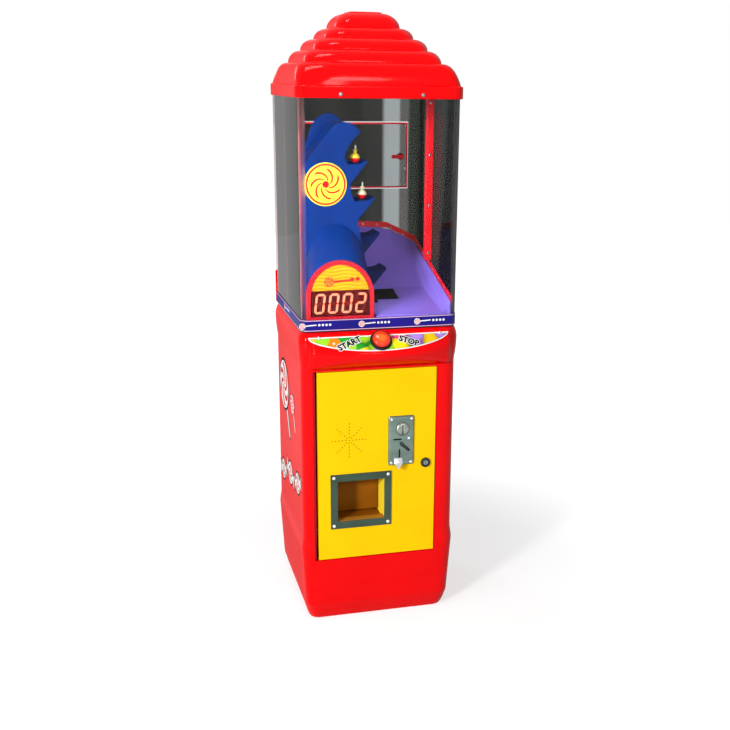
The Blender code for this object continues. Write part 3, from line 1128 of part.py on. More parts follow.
def lifter():
    blades = []
    for number in range(1, BLADE_LANES):
        moving = number % 2 == 1
        outline = moving_blade_outline() if moving else fixed_blade_outline()
        name = {1: "lifter_comb", 2: "fixed_comb"}.get(number, "blade_%d" % number)
        finish = "dark_blue_plastic" if moving else "blue_plastic"
        blades.append(plate(name, [outline], BLADE_THICKNESS, (0.0, lane_y(number), 0.0), finish))
    moving_comb, fixed_comb = blades[0], blades[1]
    boolean(moving_comb, blades[2], 'UNION')
    boolean(moving_comb, blades[4], 'UNION')
    boolean(fixed_comb, blades[3], 'UNION')
    for comb, bottom in ((fixed_comb, STAND_Z), (moving_comb, MOVING_BOTTOM)):
        boolean(comb, box(comb.name + "_foot_cut", (FIRST_TIP_X - COLUMN_DEPTH, BAY_FRONT - OVERRUN, bottom - STEP_PITCH),
                          (FIRST_TIP_X + COLUMN_DEPTH, BAY_BACK + OVERRUN, bottom)))
    spine_bottom = along_at_height(-MOVING_SPINE_FAR, MOVING_BOTTOM) + GAP
    spine = plate("lifter_spine", [[lift_xz(-MOVING_SPINE_NEAR, spine_bottom), lift_xz(-MOVING_SPINE_NEAR, -SPINE_HEAD_DROP),
                                    lift_xz(-MOVING_SPINE_FAR, -SPINE_HEAD_DROP),
                                    lift_xz(-MOVING_SPINE_FAR, spine_bottom)]],
                  lane_y(5) - lane_y(1) + BLADE_THICKNESS, (0.0, COLUMN_MIDDLE, 0.0), "dark_blue_plastic")
    boolean(moving_comb, spine, 'UNION')
    guide_y = lane_y(2)
    guide_across = -MOVING_SPINE_FAR - GUIDE_OFFSET
    for number, drop in enumerate((SPINE_HEAD_DROP + GUIDE_LUG, RACK_DROP - GUIDE_LUG)):
        lug = plate("guide_lug_%d" % number,
                    [[lift_xz(guide_across - GUIDE_LUG, -drop - GUIDE_LUG), lift_xz(-MOVING_SPINE_NEAR, -drop - GUIDE_LUG),
                      lift_xz(-MOVING_SPINE_NEAR, -drop + GUIDE_LUG),
                      lift_xz(guide_across - GUIDE_LUG, -drop + GUIDE_LUG)]],
                    GUIDE_LUG * 2, (0.0, guide_y, 0.0), "dark_blue_plastic")
        boolean(moving_comb, lug, 'UNION')
    rod_low = along_at_height(guide_across, STAND_Z) + GUIDE_RADIUS * math.tan(LEAN)
    rod_high = -ARM_HEIGHT - ARM_DROP - GAP * 2
    boolean(moving_comb, rod("guide_bore_cut", lift_point(guide_across, rod_low, guide_y),
                             lift_point(guide_across, rod_high, guide_y), GUIDE_RADIUS + RUN_GAP, sides=16))
    rod("guide_rod", lift_point(guide_across, rod_low, guide_y), lift_point(guide_across, rod_high, guide_y),
        GUIDE_RADIUS, "steel", 12)
    bar_across = -(STEP_ROOT_DEPTH + FIXED_SPINE_DEPTH) / 2
    bars = ((bar_across, along_at_height(bar_across, CROSS_BAR_Z)),
            (-ARM_REACH + CROSS_BAR_RADIUS * 1.5, -ARM_DROP - ARM_HEIGHT / 2))
    for number, (across, along) in enumerate(bars):
        bar = rod("cross_bar_%d" % number, lift_point(across, along, BAY_FRONT + GAP),
                  lift_point(across, along, BAY_BACK - GAP), CROSS_BAR_RADIUS, "blue_plastic", 12)
        boolean(fixed_comb, bar, 'UNION')
    return moving_comb


def rack_and_pinion(moving_comb):
    pitch_across = -MOVING_SPINE_FAR - RACK_BACK - ADDENDUM
    rack_low = -RACK_DROP
    teeth = int((RACK_DROP - SPINE_HEAD_DROP) / TOOTH)
    outline = [(-MOVING_SPINE_NEAR - GAP, rack_low), (-MOVING_SPINE_NEAR - GAP, rack_low + teeth * TOOTH)]
    flank = TOOTH * 0.12
    for number in reversed(range(teeth)):
        middle = rack_low + (number + 0.5) * TOOTH
        half = TOOTH * RACK_TIP_SHARE
        outline += [(pitch_across + ADDENDUM, middle + half + flank), (pitch_across - ADDENDUM * RACK_ROOT_SHARE, middle + half - flank),
                    (pitch_across - ADDENDUM * RACK_ROOT_SHARE, middle - half + flank), (pitch_across + ADDENDUM, middle - half - flank)]
    outline.append((pitch_across + ADDENDUM, rack_low))
    rack = plate("rack_strip", [[lift_xz(*point) for point in outline]], RACK_WIDTH, (0.0, COLUMN_MIDDLE, 0.0),
                 "grey_plastic")
    boolean(moving_comb, rack, 'UNION')
    gap_number = int((RACK_DROP - PINION_DROP) / TOOTH)
    centre_along = rack_low + gap_number * TOOTH
    centre_across = pitch_across - PINION_PITCH_RADIUS - GAP
    centre = lift_point(centre_across, centre_along, COLUMN_MIDDLE)
    wheel = []
    for tooth in range(PINION_TEETH):
        angle = math.tau * tooth / PINION_TEETH
        for share, reach in ((-0.34, -1.1), (-0.15, 0.85), (0.15, 0.85), (0.34, -1.1)):
            turn = angle + share * math.tau / PINION_TEETH
            radius = PINION_PITCH_RADIUS + ADDENDUM * reach
            wheel.append(lift_xz(centre_across + radius * math.cos(turn), centre_along + radius * math.sin(turn)))
    pinion = plate("drive_pinion", [wheel], RACK_WIDTH, (0.0, COLUMN_MIDDLE, 0.0), "grey_plastic")
    shaft_end = (centre.x, BAY_BACK + COLUMN_PLATE + GAP, centre.z)
    boolean(pinion, rod("pinion_shaft", centre, shaft_end, PINION_SHAFT_RADIUS, sides=16), 'UNION')
    motor_front = COLUMN_BACK + GAP * 2 + GAP
    rod("gear_motor", (centre.x, motor_front, centre.z), (centre.x, motor_front + MOTOR_LENGTH, centre.z),
        MOTOR_RADIUS, "steel", 20)
    return centre


def hood_curve(places):
    return [(FIRST_TIP_X + across, FIRST_TIP_Z + up) for across, up in places]


def plate_right_edge():
    """The front and rear plates' right side: the hood's throat, two open steps, then straight down."""
    points = hood_curve([HOOD_THROAT])
    for index in range(2):
        points += [lift_xz(*point) for point in step_points(index)]
    points.append(lift_xz(-STEP_ROOT_DEPTH, along_at_height(-STEP_ROOT_DEPTH, STAND_Z)))
    return points


def smooth(points, steps=3):
    """A Catmull-Rom curve through the points, which keeps the first and last of them."""
    result = []
    for i in range(len(points) - 1):
        p0 = Vector(points[max(i - 1, 0)])
        p1, p2 = Vector(points[i]), Vector(points[i + 1])
        p3 = Vector(points[min(i + 2, len(points) - 1)])
        for step in range(steps):
            t = step / steps
            result.append(tuple(((2 * p1) + (p2 - p0) * t + (2 * p0 - 5 * p1 + 4 * p2 - p3) * t ** 2
                                 + (3 * p1 - p0 - 3 * p2 + p3) * t ** 3) / 2))
    result.append(tuple(points[-1]))
    return result


def column(pinion_centre):
    hood = smooth(hood_curve([HOOD_SHOULDER, HOOD_CREST, HOOD_FRONT, HOOD_NOSE]), CURVE_STEPS)
    throat = smooth([hood[-1]] + [tuple(hood_curve([((HOOD_NOSE[0] + HOOD_THROAT[0]) / 2,
                                                     (HOOD_NOSE[1] + HOOD_THROAT[1]) / 2 + STEP_DIP)])[0])]
                    + hood_curve([HOOD_THROAT]))
    left_top = (COLUMN_LEFT, FIRST_TIP_Z + HOOD_LEFT_RISE)
    front_outline = [(COLUMN_LEFT, STAND_Z), left_top] + hood + throat[1:-1] + plate_right_edge()
    plate("elevator_front_plate", [front_outline[::-1]], COLUMN_PLATE, (0.0, COLUMN_FRONT + COLUMN_PLATE / 2, 0.0),
          "blue_plastic")
    rear_hood = smooth([(REAR_LEFT_X, FIRST_TIP_Z + HOOD_LEFT_RISE)]
                       + hood_curve([REAR_SHOULDER, REAR_CREST, HOOD_FRONT, HOOD_NOSE]), CURVE_STEPS)
    rear_outline = [(REAR_LEFT_X, STAND_Z)] + rear_hood + throat[1:-1] + plate_right_edge()
    shaft = circle(pinion_centre.x, pinion_centre.z, PINION_SHAFT_RADIUS + RUN_GAP, 16)
    plate("elevator_rear_plate", [rear_outline[::-1], shaft], COLUMN_PLATE,
          (0.0, COLUMN_BACK - COLUMN_PLATE / 2, 0.0), "blue_plastic")
    shroud_outer = [(COLUMN_LEFT, STAND_Z), left_top] + hood
    shroud_inner = offset_path(shroud_outer, -COLUMN_SHROUD)
    plate("elevator_shroud", [shroud_outer + shroud_inner[::-1]], BAY_BACK - BAY_FRONT - GAP * 2,
          (0.0, COLUMN_MIDDLE, 0.0), "blue_plastic")
    plate("column_badge", [circle(BADGE_X, BADGE_Z, BADGE_RADIUS, 36)], BADGE_THICKNESS,
          (0.0, COLUMN_FRONT - GAP - BADGE_THICKNESS / 2, 0.0), "badge_print")


def display():
    width = DISPLAY_FRAME_WIDTH
    outer = arch(DISPLAY_X, DISPLAY_HALF, STAND_Z, DISPLAY_SPRING_Z, DISPLAY_TOP)
    inner = arch(DISPLAY_X, DISPLAY_HALF - width, DISPLAY_SILL_Z, DISPLAY_SPRING_Z, DISPLAY_TOP - width)
    frame_y = DISPLAY_FRAME_Y - DISPLAY_FRAME_THICKNESS / 2
    plate("display_frame", [outer, inner], DISPLAY_FRAME_THICKNESS, (0.0, frame_y, 0.0), "red_trim")
    half = DISPLAY_HALF - width - DISPLAY_FIT
    crown = DISPLAY_TOP - width - DISPLAY_FIT
    bar = DISPLAY_BAR_Z + GAP
    face = arch(DISPLAY_X, half, DISPLAY_SILL_Z, DISPLAY_SPRING_Z, crown)[2:]
    above = [point for point in face if point[1] > bar + DISPLAY_RECESS]
    rise = (bar - DISPLAY_SPRING_Z) / (crown - DISPLAY_SPRING_Z)
    reach = half * math.sqrt(1.0 - rise ** 2)
    face_outline = [(DISPLAY_X - reach, bar), (DISPLAY_X + reach, bar)] + above
    plate_y = DISPLAY_FRAME_Y - DISPLAY_FRAME_THICKNESS + DISPLAY_RECESS + DISPLAY_PLATE_THICKNESS / 2
    plate("display_face", [face_outline], DISPLAY_PLATE_THICKNESS, (0.0, plate_y, 0.0), "face_print")
    led_half = half * math.sqrt(1.0 - ((DISPLAY_BAR_Z - DISPLAY_SPRING_Z) / (crown - DISPLAY_SPRING_Z)) ** 2)
    led_front = DISPLAY_FRAME_Y - DISPLAY_FRAME_THICKNESS + DISPLAY_RECESS
    box("led_module", (DISPLAY_X - led_half, led_front, DISPLAY_SILL_Z + GAP),
        (DISPLAY_X + led_half, led_front + LED_DEPTH, DISPLAY_BAR_Z), "led_window")
    front_y = DISPLAY_FRAME_Y + GAP
    back_y = COLUMN_FRONT - GAP
    sections = []
    for thickness in (0.0, HOUSING_WALL):
        for y, x, half_width, spring, top in ((front_y, DISPLAY_X, HOUSING_FRONT_HALF, DISPLAY_SPRING_Z, HOUSING_FRONT_TOP),
                                              (back_y, HOUSING_REAR_X, HOUSING_REAR_HALF, HOUSING_REAR_SPRING_Z,
                                               HOUSING_REAR_TOP)):
            path = arch(x, half_width - thickness, STAND_Z, spring, top - thickness)
            sections.append([(px, y, pz) for px, pz in path[1:] + path[:1]])
    bm = bmesh.new()
    rings = [[bm.verts.new(point) for point in section] for section in sections]
    front_outer, back_outer, front_inner, back_inner = rings
    for first, second in ((front_outer, back_outer), (back_outer, back_inner), (back_inner, front_inner),
                          (front_inner, front_outer)):
        for i in range(len(first) - 1):
            bm.faces.new((first[i], first[i + 1], second[i + 1], second[i]))
    for i in (0, -1):
        bm.faces.new((front_outer[i], back_outer[i], back_inner[i], front_inner[i]))
    object_from_bmesh("display_housing", bm, "blue_plastic")


def rim_height(y):
    """Height of the red strip's upper edge along the right wall."""
    share = (y - HOPPER_FRONT) / (CASE_REAR - CASE_WALL - HOPPER_FRONT)
    return HOPPER_RIM_FRONT + (HOPPER_RIM_REAR - HOPPER_RIM_FRONT) * share


def rear_height(x):
    """Height of the red strip's upper edge along the back, which rises from the right corner."""
    for (near, low), (far, high) in zip(HOPPER_REAR_LINE, HOPPER_REAR_LINE[1:]):
        if x >= far:
            return low + (high - low) * max(near - x, 0.0) / (near - far)
    return HOPPER_REAR_LINE[-1][1]


def hopper_floor(x, y, rear):
    if y <= HOPPER_BREAK_Y:
        share = (y - HOPPER_FRONT) / (HOPPER_BREAK_Y - HOPPER_FRONT)
        return HOPPER_FRONT_FLOOR + (HOPPER_BREAK_FLOOR - HOPPER_FRONT_FLOOR) * share
    share = (y - HOPPER_BREAK_Y) / (rear - HOPPER_BREAK_Y)
    back = rear_height(x) - EDGING_HEIGHT - GAP
    return HOPPER_BREAK_FLOOR + (back - HOPPER_BREAK_FLOOR) * share ** HOPPER_REAR_CURVE


def hopper():
    right = CASE_INNER - HOPPER_WALL_GAP - HOPPER_WALL
    rear = CASE_REAR - CASE_WALL - HOPPER_WALL_GAP - HOPPER_WALL
    side_start = right - HOPPER_SIDE_WIDTH
    columns = [(HOPPER_LEFT, None), (HOPPER_LEFT + GAP, 0.0)]
    columns += [(HOPPER_LEFT + (side_start - HOPPER_LEFT) * share, 0.0) for share in (0.25, 0.5, 0.75)]
    steps = len(HOPPER_SIDE_SHARES) - 1
    columns += [(side_start + HOPPER_SIDE_WIDTH * i / steps, lift) for i, lift in enumerate(HOPPER_SIDE_SHARES)]
    rows = [[(x, HOPPER_FRONT, STAND_Z) for x, lift in columns]]
    for number in range(HOPPER_ROWS + 1):
        y = HOPPER_FRONT + GAP + (rear - HOPPER_FRONT - GAP) * number / HOPPER_ROWS
        row = []
        for x, lift in columns:
            floor = hopper_floor(x, y, rear)
            edge = max(rim_height(y) - EDGING_HEIGHT - GAP, floor)
            row.append((x, y, STAND_Z if lift is None else floor + (edge - floor) * lift))
        rows.append(row)
    tray = skin("hopper", rows, HOPPER_WALL, "purple_plastic", offset=-1.0)
    tray.modifiers["Wall"].use_even_offset = False
    boolean(tray, box("hopper_notch_cut",
                      (HOPPER_LEFT - OVERRUN * 2, COLUMN_FRONT - HOPPER_NOTCH_MARGIN, DECK_BOTTOM),
                      (COLUMN_LEFT + HOPPER_BODY_REACH, COLUMN_BACK + HOPPER_NOTCH_MARGIN, RIM_BOTTOM)))
    slot = BLADE_THICKNESS / 2 + HOPPER_SLOT_MARGIN
    boolean(tray, box("hopper_slot_cut", (HOPPER_LEFT, lane_y(1) - slot, DECK_BOTTOM),
                      (HOPPER_NOTCH_RIGHT, lane_y(BLADE_LANES - 1) + slot, RIM_BOTTOM)))
    edging()


def edging():
    """The red strip on the hopper's rim: along the right wall, round the corner and along the back."""
    outer_x = CASE_INNER - GAP
    inner_x = outer_x - EDGING_THICKNESS
    outer_y = CASE_REAR - CASE_WALL - GAP
    inner_y = outer_y - EDGING_THICKNESS
    stations = [((inner_x, y), (outer_x, y), rim_height(y)) for y in (HOPPER_FRONT, HOPPER_BREAK_Y)]
    stations.append(((inner_x, inner_y), (outer_x, outer_y), max(rim_height(outer_y), rear_height(outer_x))))
    stations += [((x, inner_y), (x, outer_y), height) for x, height in HOPPER_REAR_LINE[1:]]
    stations.append(((HOPPER_LEFT, inner_y), (HOPPER_LEFT, outer_y), HOPPER_REAR_LINE[-1][1]))
    rings = []
    for (ix, iy), (ox, oy), top in stations:
        low = top - EDGING_HEIGHT
        rings.append([(ix, iy, low), (ox, oy, low), (ox, oy, top), (ix, iy, top)])
    loft("hopper_edging", rings, "red_trim")


def deck_and_tube():
    outline = rounded_rectangle(DECK_HALF, DECK_HALF_Y, CORNER_RADIUS)
    hole = circle(TUBE_X, COLUMN_MIDDLE, TUBE_RADIUS + GAP, 20)
    plate("deck_plate", [outline, hole], DECK_THICKNESS, (0.0, 0.0, DECK_BOTTOM + DECK_THICKNESS / 2), "black_plastic",
          UPRIGHT)
    route = [(TUBE_X, COLUMN_MIDDLE, TUBE_TOP), (TUBE_X, COLUMN_MIDDLE, DECK_TOP),
             (TUBE_X, COLUMN_MIDDLE, (DECK_TOP * 3 + TUBE_END_Z) / 4),
             ((TUBE_X + TUBE_END_X) / 2, (COLUMN_MIDDLE + TUBE_END_Y) / 2, (DECK_TOP + TUBE_END_Z) / 2),
             (TUBE_END_X, TUBE_END_Y, (DECK_TOP + TUBE_END_Z * 3) / 4),
             (TUBE_END_X, TUBE_END_Y, TUBE_END_Z)]
    path = [route[0]] + smooth(route[1:], 4)
    bodies = []
    for name, radius, extra in (("delivery_tube", TUBE_RADIUS, 0.0), ("delivery_bore_cut", TUBE_BORE, OVERRUN)):
        curve = bpy.data.curves.new(name, 'CURVE')
        curve.dimensions = '3D'
        curve.bevel_depth = radius
        curve.bevel_resolution = TUBE_SIDES_RESOLUTION
        curve.use_fill_caps = True
        spline = curve.splines.new('POLY')
        spline.points.add(len(path) - 1)
        for number, (x, y, z) in enumerate(path):
            shift = extra if number == 0 else -extra if number == len(path) - 1 else 0.0
            spline.points[number].co = (x, y, z + shift, 1.0)
        made = bpy.data.objects.new(name, curve)
        model.objects.link(made)
        bodies.append(solid_from_curve(made, "clear_acrylic"))
    boolean(bodies[0], bodies[1])


def electrics():
    x, y = SUPPLY_PLACE
    floor = BASE_PLATE_THICKNESS + GAP
    box("power_supply", (x - SUPPLY_SIZE[0] / 2, y - SUPPLY_SIZE[1] / 2, floor),
        (x + SUPPLY_SIZE[0] / 2, y + SUPPLY_SIZE[1] / 2, floor + SUPPLY_SIZE[2]), "steel")
    x, z = BOARD_PLACE
    wall_y = HALF_Y - CABINET_WALL - GAP
    box("control_board", (x - BOARD_SIZE[0] / 2, wall_y - BOARD_SIZE[1], z - BOARD_SIZE[2] / 2),
        (x + BOARD_SIZE[0] / 2, wall_y, z + BOARD_SIZE[2] / 2), "board_green")
    inlet = box("power_inlet", (INLET_X - INLET_WIDTH / 2, HALF_Y + GAP, INLET_Z - INLET_HEIGHT / 2),
                (INLET_X + INLET_WIDTH / 2, HALF_Y + GAP + INLET_FLANGE, INLET_Z + INLET_HEIGHT / 2), "black_plastic")
    boolean(inlet, box("inlet_body", (INLET_X - INLET_BODY_WIDTH / 2, HALF_Y - INLET_BODY_DEPTH,
                                      INLET_Z - INLET_BODY_HEIGHT / 2),
                       (INLET_X + INLET_BODY_WIDTH / 2, HALF_Y + GAP + INLET_FLANGE / 2,
                        INLET_Z + INLET_BODY_HEIGHT / 2)), 'UNION')
    wall = INLET_SOCKET_WALL
    boolean(inlet, box("inlet_socket_cut", (INLET_X - INLET_BODY_WIDTH / 2 + wall, HALF_Y - INLET_SOCKET_DEPTH,
                                            INLET_Z - INLET_BODY_HEIGHT / 2 + wall),
                       (INLET_X + INLET_BODY_WIDTH / 2 - wall, HALF_Y + OVERRUN,
                        INLET_Z + INLET_BODY_HEIGHT / 2 - wall)))
    x, y = CASH_BOX_PLACE
    size = CASH_BOX_SIZE
    cash = box("cash_box", (x - size[0] / 2, y - size[1] / 2, floor), (x + size[0] / 2, y + size[1] / 2, floor + size[2]),
               "steel")
    wall = CASH_BOX_WALL
    boolean(cash, box("cash_hollow_cut", (x - size[0] / 2 + wall, y - size[1] / 2 + wall, floor + wall),
                      (x + size[0] / 2 - wall, y + size[1] / 2 - wall, floor + size[2] + OVERRUN)))


plinth_and_floor()
cabinet_shell()
door_jamb()
door_panel()
speaker()
prize_unit()
coin_unit()
door_lock()
control_shelf()
clear_case()
rear_door()
roof()
column(rack_and_pinion(lifter()))
display()
hopper()
deck_and_tube()
electrics()
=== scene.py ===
import math
import bpy
import bmesh
from mathutils import Matrix, Vector
from mathutils.bvhtree import BVHTree


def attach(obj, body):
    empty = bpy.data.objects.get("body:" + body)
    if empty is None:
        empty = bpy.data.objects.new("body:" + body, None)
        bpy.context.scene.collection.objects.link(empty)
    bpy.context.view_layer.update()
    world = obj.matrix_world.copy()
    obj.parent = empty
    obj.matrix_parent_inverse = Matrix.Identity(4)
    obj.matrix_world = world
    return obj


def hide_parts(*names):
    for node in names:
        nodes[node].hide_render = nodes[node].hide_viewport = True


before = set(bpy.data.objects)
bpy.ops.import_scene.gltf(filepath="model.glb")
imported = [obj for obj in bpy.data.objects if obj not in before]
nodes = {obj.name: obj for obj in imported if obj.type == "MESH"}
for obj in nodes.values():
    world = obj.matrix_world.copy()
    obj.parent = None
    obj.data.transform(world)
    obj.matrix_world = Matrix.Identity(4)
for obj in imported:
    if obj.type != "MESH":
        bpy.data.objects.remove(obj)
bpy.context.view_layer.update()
print("frame loaded,", len(nodes), "nodes")

half = 0.200  # half the cabinet's width and depth


def srgb(red, green, blue):
    def linear(value):
        value /= 255
        return value / 12.92 if value <= 0.04045 else ((value + 0.055) / 1.055) ** 2.4
    return (linear(red), linear(green), linear(blue), 1.0)


# Node tree helpers: an input takes a socket as a link and anything else as its value
def feed(tree, made, inputs):
    for key, value in inputs.items():
        if isinstance(value, bpy.types.NodeSocket):
            tree.links.new(value, made.inputs[key])
        else:
            made.inputs[key].default_value = value


def addNode(tree, kind, inputs=None, **settings):
    made = tree.nodes.new(kind)
    for name, value in settings.items():
        setattr(made, name, value)
    feed(tree, made, inputs or {})
    return made


def calc(tree, operation, *values):
    return addNode(tree, "ShaderNodeMath", dict(enumerate(values)), operation=operation).outputs[0]


def vectorCalc(tree, operation, *values, output=0):
    return addNode(tree, "ShaderNodeVectorMath", dict(enumerate(values)), operation=operation).outputs[output]


def mapRange(tree, value, low, high, start=0.0, stop=1.0, kind="SMOOTHSTEP"):
    inputs = {"Value": value, "From Min": low, "From Max": high, "To Min": start, "To Max": stop}
    return addNode(tree, "ShaderNodeMapRange", inputs, interpolation_type=kind).outputs["Result"]


def mixColour(tree, share, first, second, blend="MIX"):
    inputs = {0: share, 6: first, 7: second}
    return addNode(tree, "ShaderNodeMix", inputs, data_type="RGBA", blend_type=blend).outputs[2]


def objectPoint(tree, scale=None):
    point = addNode(tree, "ShaderNodeTexCoord").outputs["Object"]
    return addNode(tree, "ShaderNodeMapping", {"Vector": point, "Scale": scale}).outputs[0] if scale else point


def splitPoint(tree, vector):
    return addNode(tree, "ShaderNodeSeparateXYZ", {"Vector": vector}).outputs[:]


def noise(tree, vector, scale, detail, **inputs):
    inputs.update(Vector=vector, Scale=scale, Detail=detail)
    return addNode(tree, "ShaderNodeTexNoise", inputs).outputs["Fac"]


def facingShare(tree):
    return addNode(tree, "ShaderNodeLayerWeight", {"Blend": 0.5}).outputs["Facing"]


def newLook(name, inputs):
    made = bpy.data.materials.new(name)
    made.use_nodes = True
    shader = made.node_tree.nodes["Principled BSDF"]
    feed(made.node_tree, shader, inputs)
    return made, made.node_tree, shader


def toned(colour, gain, lift=0.0):
    return tuple(min(channel * gain + lift, 1.0) for channel in colour[:3]) + (1.0,)


# One finish for every painted, moulded or metal surface: tone drift, fine grain, scuffs and a gloss that falls off
# towards grazing, as on waxed paint with a fine haze
finishSettings = {"grazing": (0.45, 0.88), "grazingShare": 0.008, "cloud": (6.0, 3.0), "cloudEdges": (0.30, 0.70),
                  "fineScale": 0.4, "marks": (38.0, 6.0), "markEdges": (0.58, 0.78), "darkening": 2.2,
                  "worn": (0.9, 0.012), "wornRough": 0.6, "bump": {"Strength": 0.35, "Distance": 0.002}}
finishes = {}


def finish(name, tone, roughness, metallic=0.0, drift=0.05, grain=0.02, grainSize=0.0006, scuff=0.10, ripple=0.0,
           rippleSize=0.05, specular=0.5, stretch=(1.0, 1.0, 1.0), scuffTone=None, emission=0.0, ior=1.34,
           paint=None):
    s = finishSettings
    colour = srgb(*tone)
    made, tree, shader = newLook(name, {"Metallic": metallic, "IOR": ior})
    if metallic < 0.5:
        level = mapRange(tree, facingShare(tree), *s["grazing"], specular, specular * s["grazingShare"])
        feed(tree, shader, {"Specular IOR Level": level})
    place = objectPoint(tree, stretch)
    cloud = mapRange(tree, noise(tree, place, *s["cloud"], Roughness=0.55), *s["cloudEdges"])
    fine = noise(tree, place, s["fineScale"] / grainSize, 2.0)
    marks = noise(tree, place, *s["marks"], Roughness=0.72, Distortion=0.6)
    marks = mapRange(tree, marks, *s["markEdges"])
    mixed = mixColour(tree, cloud, toned(colour, 1.0 - drift * s["darkening"]), toned(colour, 1.0 + drift))
    if paint:
        mixed = paint(tree, mixed)
    worn = srgb(*scuffTone) if scuffTone else toned(colour, *s["worn"])
    mixed = mixColour(tree, calc(tree, "MULTIPLY", marks, scuff), mixed, worn)
    rough = calc(tree, "MULTIPLY_ADD", marks, scuff * s["wornRough"], roughness)
    rough = calc(tree, "MULTIPLY_ADD", fine, grain, rough)
    height = calc(tree, "MULTIPLY", fine, grain)
    if ripple:
        height = calc(tree, "MULTIPLY_ADD", noise(tree, place, 1.0 / rippleSize, 1.0), ripple, height)
    bump = addNode(tree, "ShaderNodeBump", {"Height": height, **s["bump"]}).outputs[0]
    feed(tree, shader, {"Base Color": mixed, "Roughness": rough, "Normal": bump})
    if emission:
        feed(tree, shader, {"Emission Color": mixed, "Emission Strength": emission})
    finishes[name] = made


finish("redGloss", (240, 0, 4), 0.09, drift=0.02, grain=0.010, scuff=0.05, ripple=0.10, rippleSize=0.06,
       specular=0.36, ior=1.22)
finish("redTrim", (206, 14, 26), 0.24, drift=0.06, grain=0.03, scuff=0.20, ripple=0.05, specular=0.35)
finish("frameRed", (182, 16, 32), 0.18, drift=0.06, scuff=0.12, specular=0.45)
finish("yellowPaint", (255, 203, 0), 0.30, drift=0.02, grain=0.035, grainSize=0.0009, ripple=0.04, specular=0.22,
       scuffTone=(238, 168, 0))
finish("blueGloss", (0, 38, 108), 0.13, drift=0.07, grain=0.015, scuff=0.08, ripple=0.10, specular=0.30, ior=1.25)
finish("navyGloss", (0, 14, 66), 0.18, drift=0.08, specular=0.25, ior=1.2)
finish("purpleGloss", (122, 98, 198), 0.12, grain=0.012, ripple=0.12, rippleSize=0.07, specular=0.55)
finish("frameMetal", (60, 80, 68), 0.42, metallic=0.55, drift=0.16, grain=0.12, grainSize=0.0012, scuff=0.35,
       scuffTone=(104, 122, 108))
finish("coinMetal", (112, 130, 122), 0.24, metallic=0.92, drift=0.10, grain=0.10, scuff=0.25,
       stretch=(1.0, 1.0, 6.0), scuffTone=(70, 84, 78))
finish("coinBright", (136, 144, 136), 0.22, metallic=0.95, drift=0.08, grain=0.05, scuff=0.25,
       scuffTone=(96, 106, 100))
finish("chrome", (206, 210, 214), 0.11, metallic=1.0, drift=0.03, scuff=0.15, scuffTone=(140, 142, 146))
finish("darkChrome", (58, 62, 62), 0.20, metallic=1.0, grain=0.03, scuff=0.15)
finish("steel", (150, 152, 156), 0.36, metallic=0.9, drift=0.10, grain=0.10, scuff=0.3, stretch=(1.0, 8.0, 1.0))
finish("blackPlastic", (22, 22, 24), 0.42, drift=0.15, grain=0.10, scuff=0.2, specular=0.3)
finish("greyPlastic", (126, 128, 132), 0.45, drift=0.08, grain=0.10, scuff=0.2)
finish("amber", (140, 82, 8), 0.36, drift=0.16, grain=0.03, scuff=0.25, specular=0.12)
finish("boardBrown", (126, 92, 58), 0.65, drift=0.16, grain=0.20, scuff=0.3, stretch=(1.0, 9.0, 1.0))
finish("boardGreen", (18, 92, 48), 0.40, drift=0.10, grain=0.08, scuff=0.2)
finish("bandBlue", (28, 20, 132), 0.22, drift=0.10, scuff=0.12, specular=0.25)
finish("white", (240, 240, 238), 0.35, drift=0.03, grain=0.03, scuff=0.12, specular=0.2)
finish("softPink", (238, 196, 214), 0.35, grain=0.03, scuff=0.12, specular=0.2)
finish("inkBlack", (12, 10, 12), 0.40, grain=0.04, specular=0.2)
finish("inkRed", (214, 12, 26), 0.34, drift=0.06, grain=0.03, scuff=0.12, specular=0.2)
finish("inkYellow", (252, 224, 62), 0.34, grain=0.03, scuff=0.12, specular=0.2)
finish("ledRed", (74, 0, 2), 0.22, drift=0.12, grain=0.01, scuff=0.08, specular=0.2)
finish("digitLit", (250, 128, 98), 0.30, drift=0.03, grain=0.01, scuff=0.0, specular=0.2, emission=0.42)
finish("digitOff", (104, 6, 8), 0.30, grain=0.01, scuff=0.0, specular=0.2)
finish("lampWhite", (190, 216, 255), 0.2, drift=0.02, grain=0.01, scuff=0.0, emission=0.8)
finish("wrapYellow", (248, 206, 60), 0.30, drift=0.2, grain=0.05, scuff=0.5, scuffTone=(214, 30, 40), ripple=0.8,
       rippleSize=0.004)
finish("wrapCream", (244, 232, 196), 0.30, drift=0.15, grain=0.05, scuff=0.6, scuffTone=(214, 40, 50), ripple=0.8,
       rippleSize=0.004)
finish("stickWhite", (246, 242, 226), 0.45, drift=0.04, grain=0.05)

# Clear sheets: thin tinted acrylic with faint wipe marks and dust, and zones of painted reflection and painted shade
sheetSettings = {"index": 1.17, "grazing": (0.35, 0.85), "grazingIndex": 1.03, "leftWall": -0.190, "leftIndex": 0.055,
                 "streak": (14.0, 14.0, 2.2), "streakEdges": (0.35, 0.68), "zoneBlur": 0.012, "dustScale": 60.0,
                 "dustEdges": (0.55, 0.8), "dustRough": 0.05, "bendBlur": 0.003, "bendRough": 0.45}


def edgeShare(tree, value, edge, blur):
    return mapRange(tree, value, edge - blur, edge + blur)


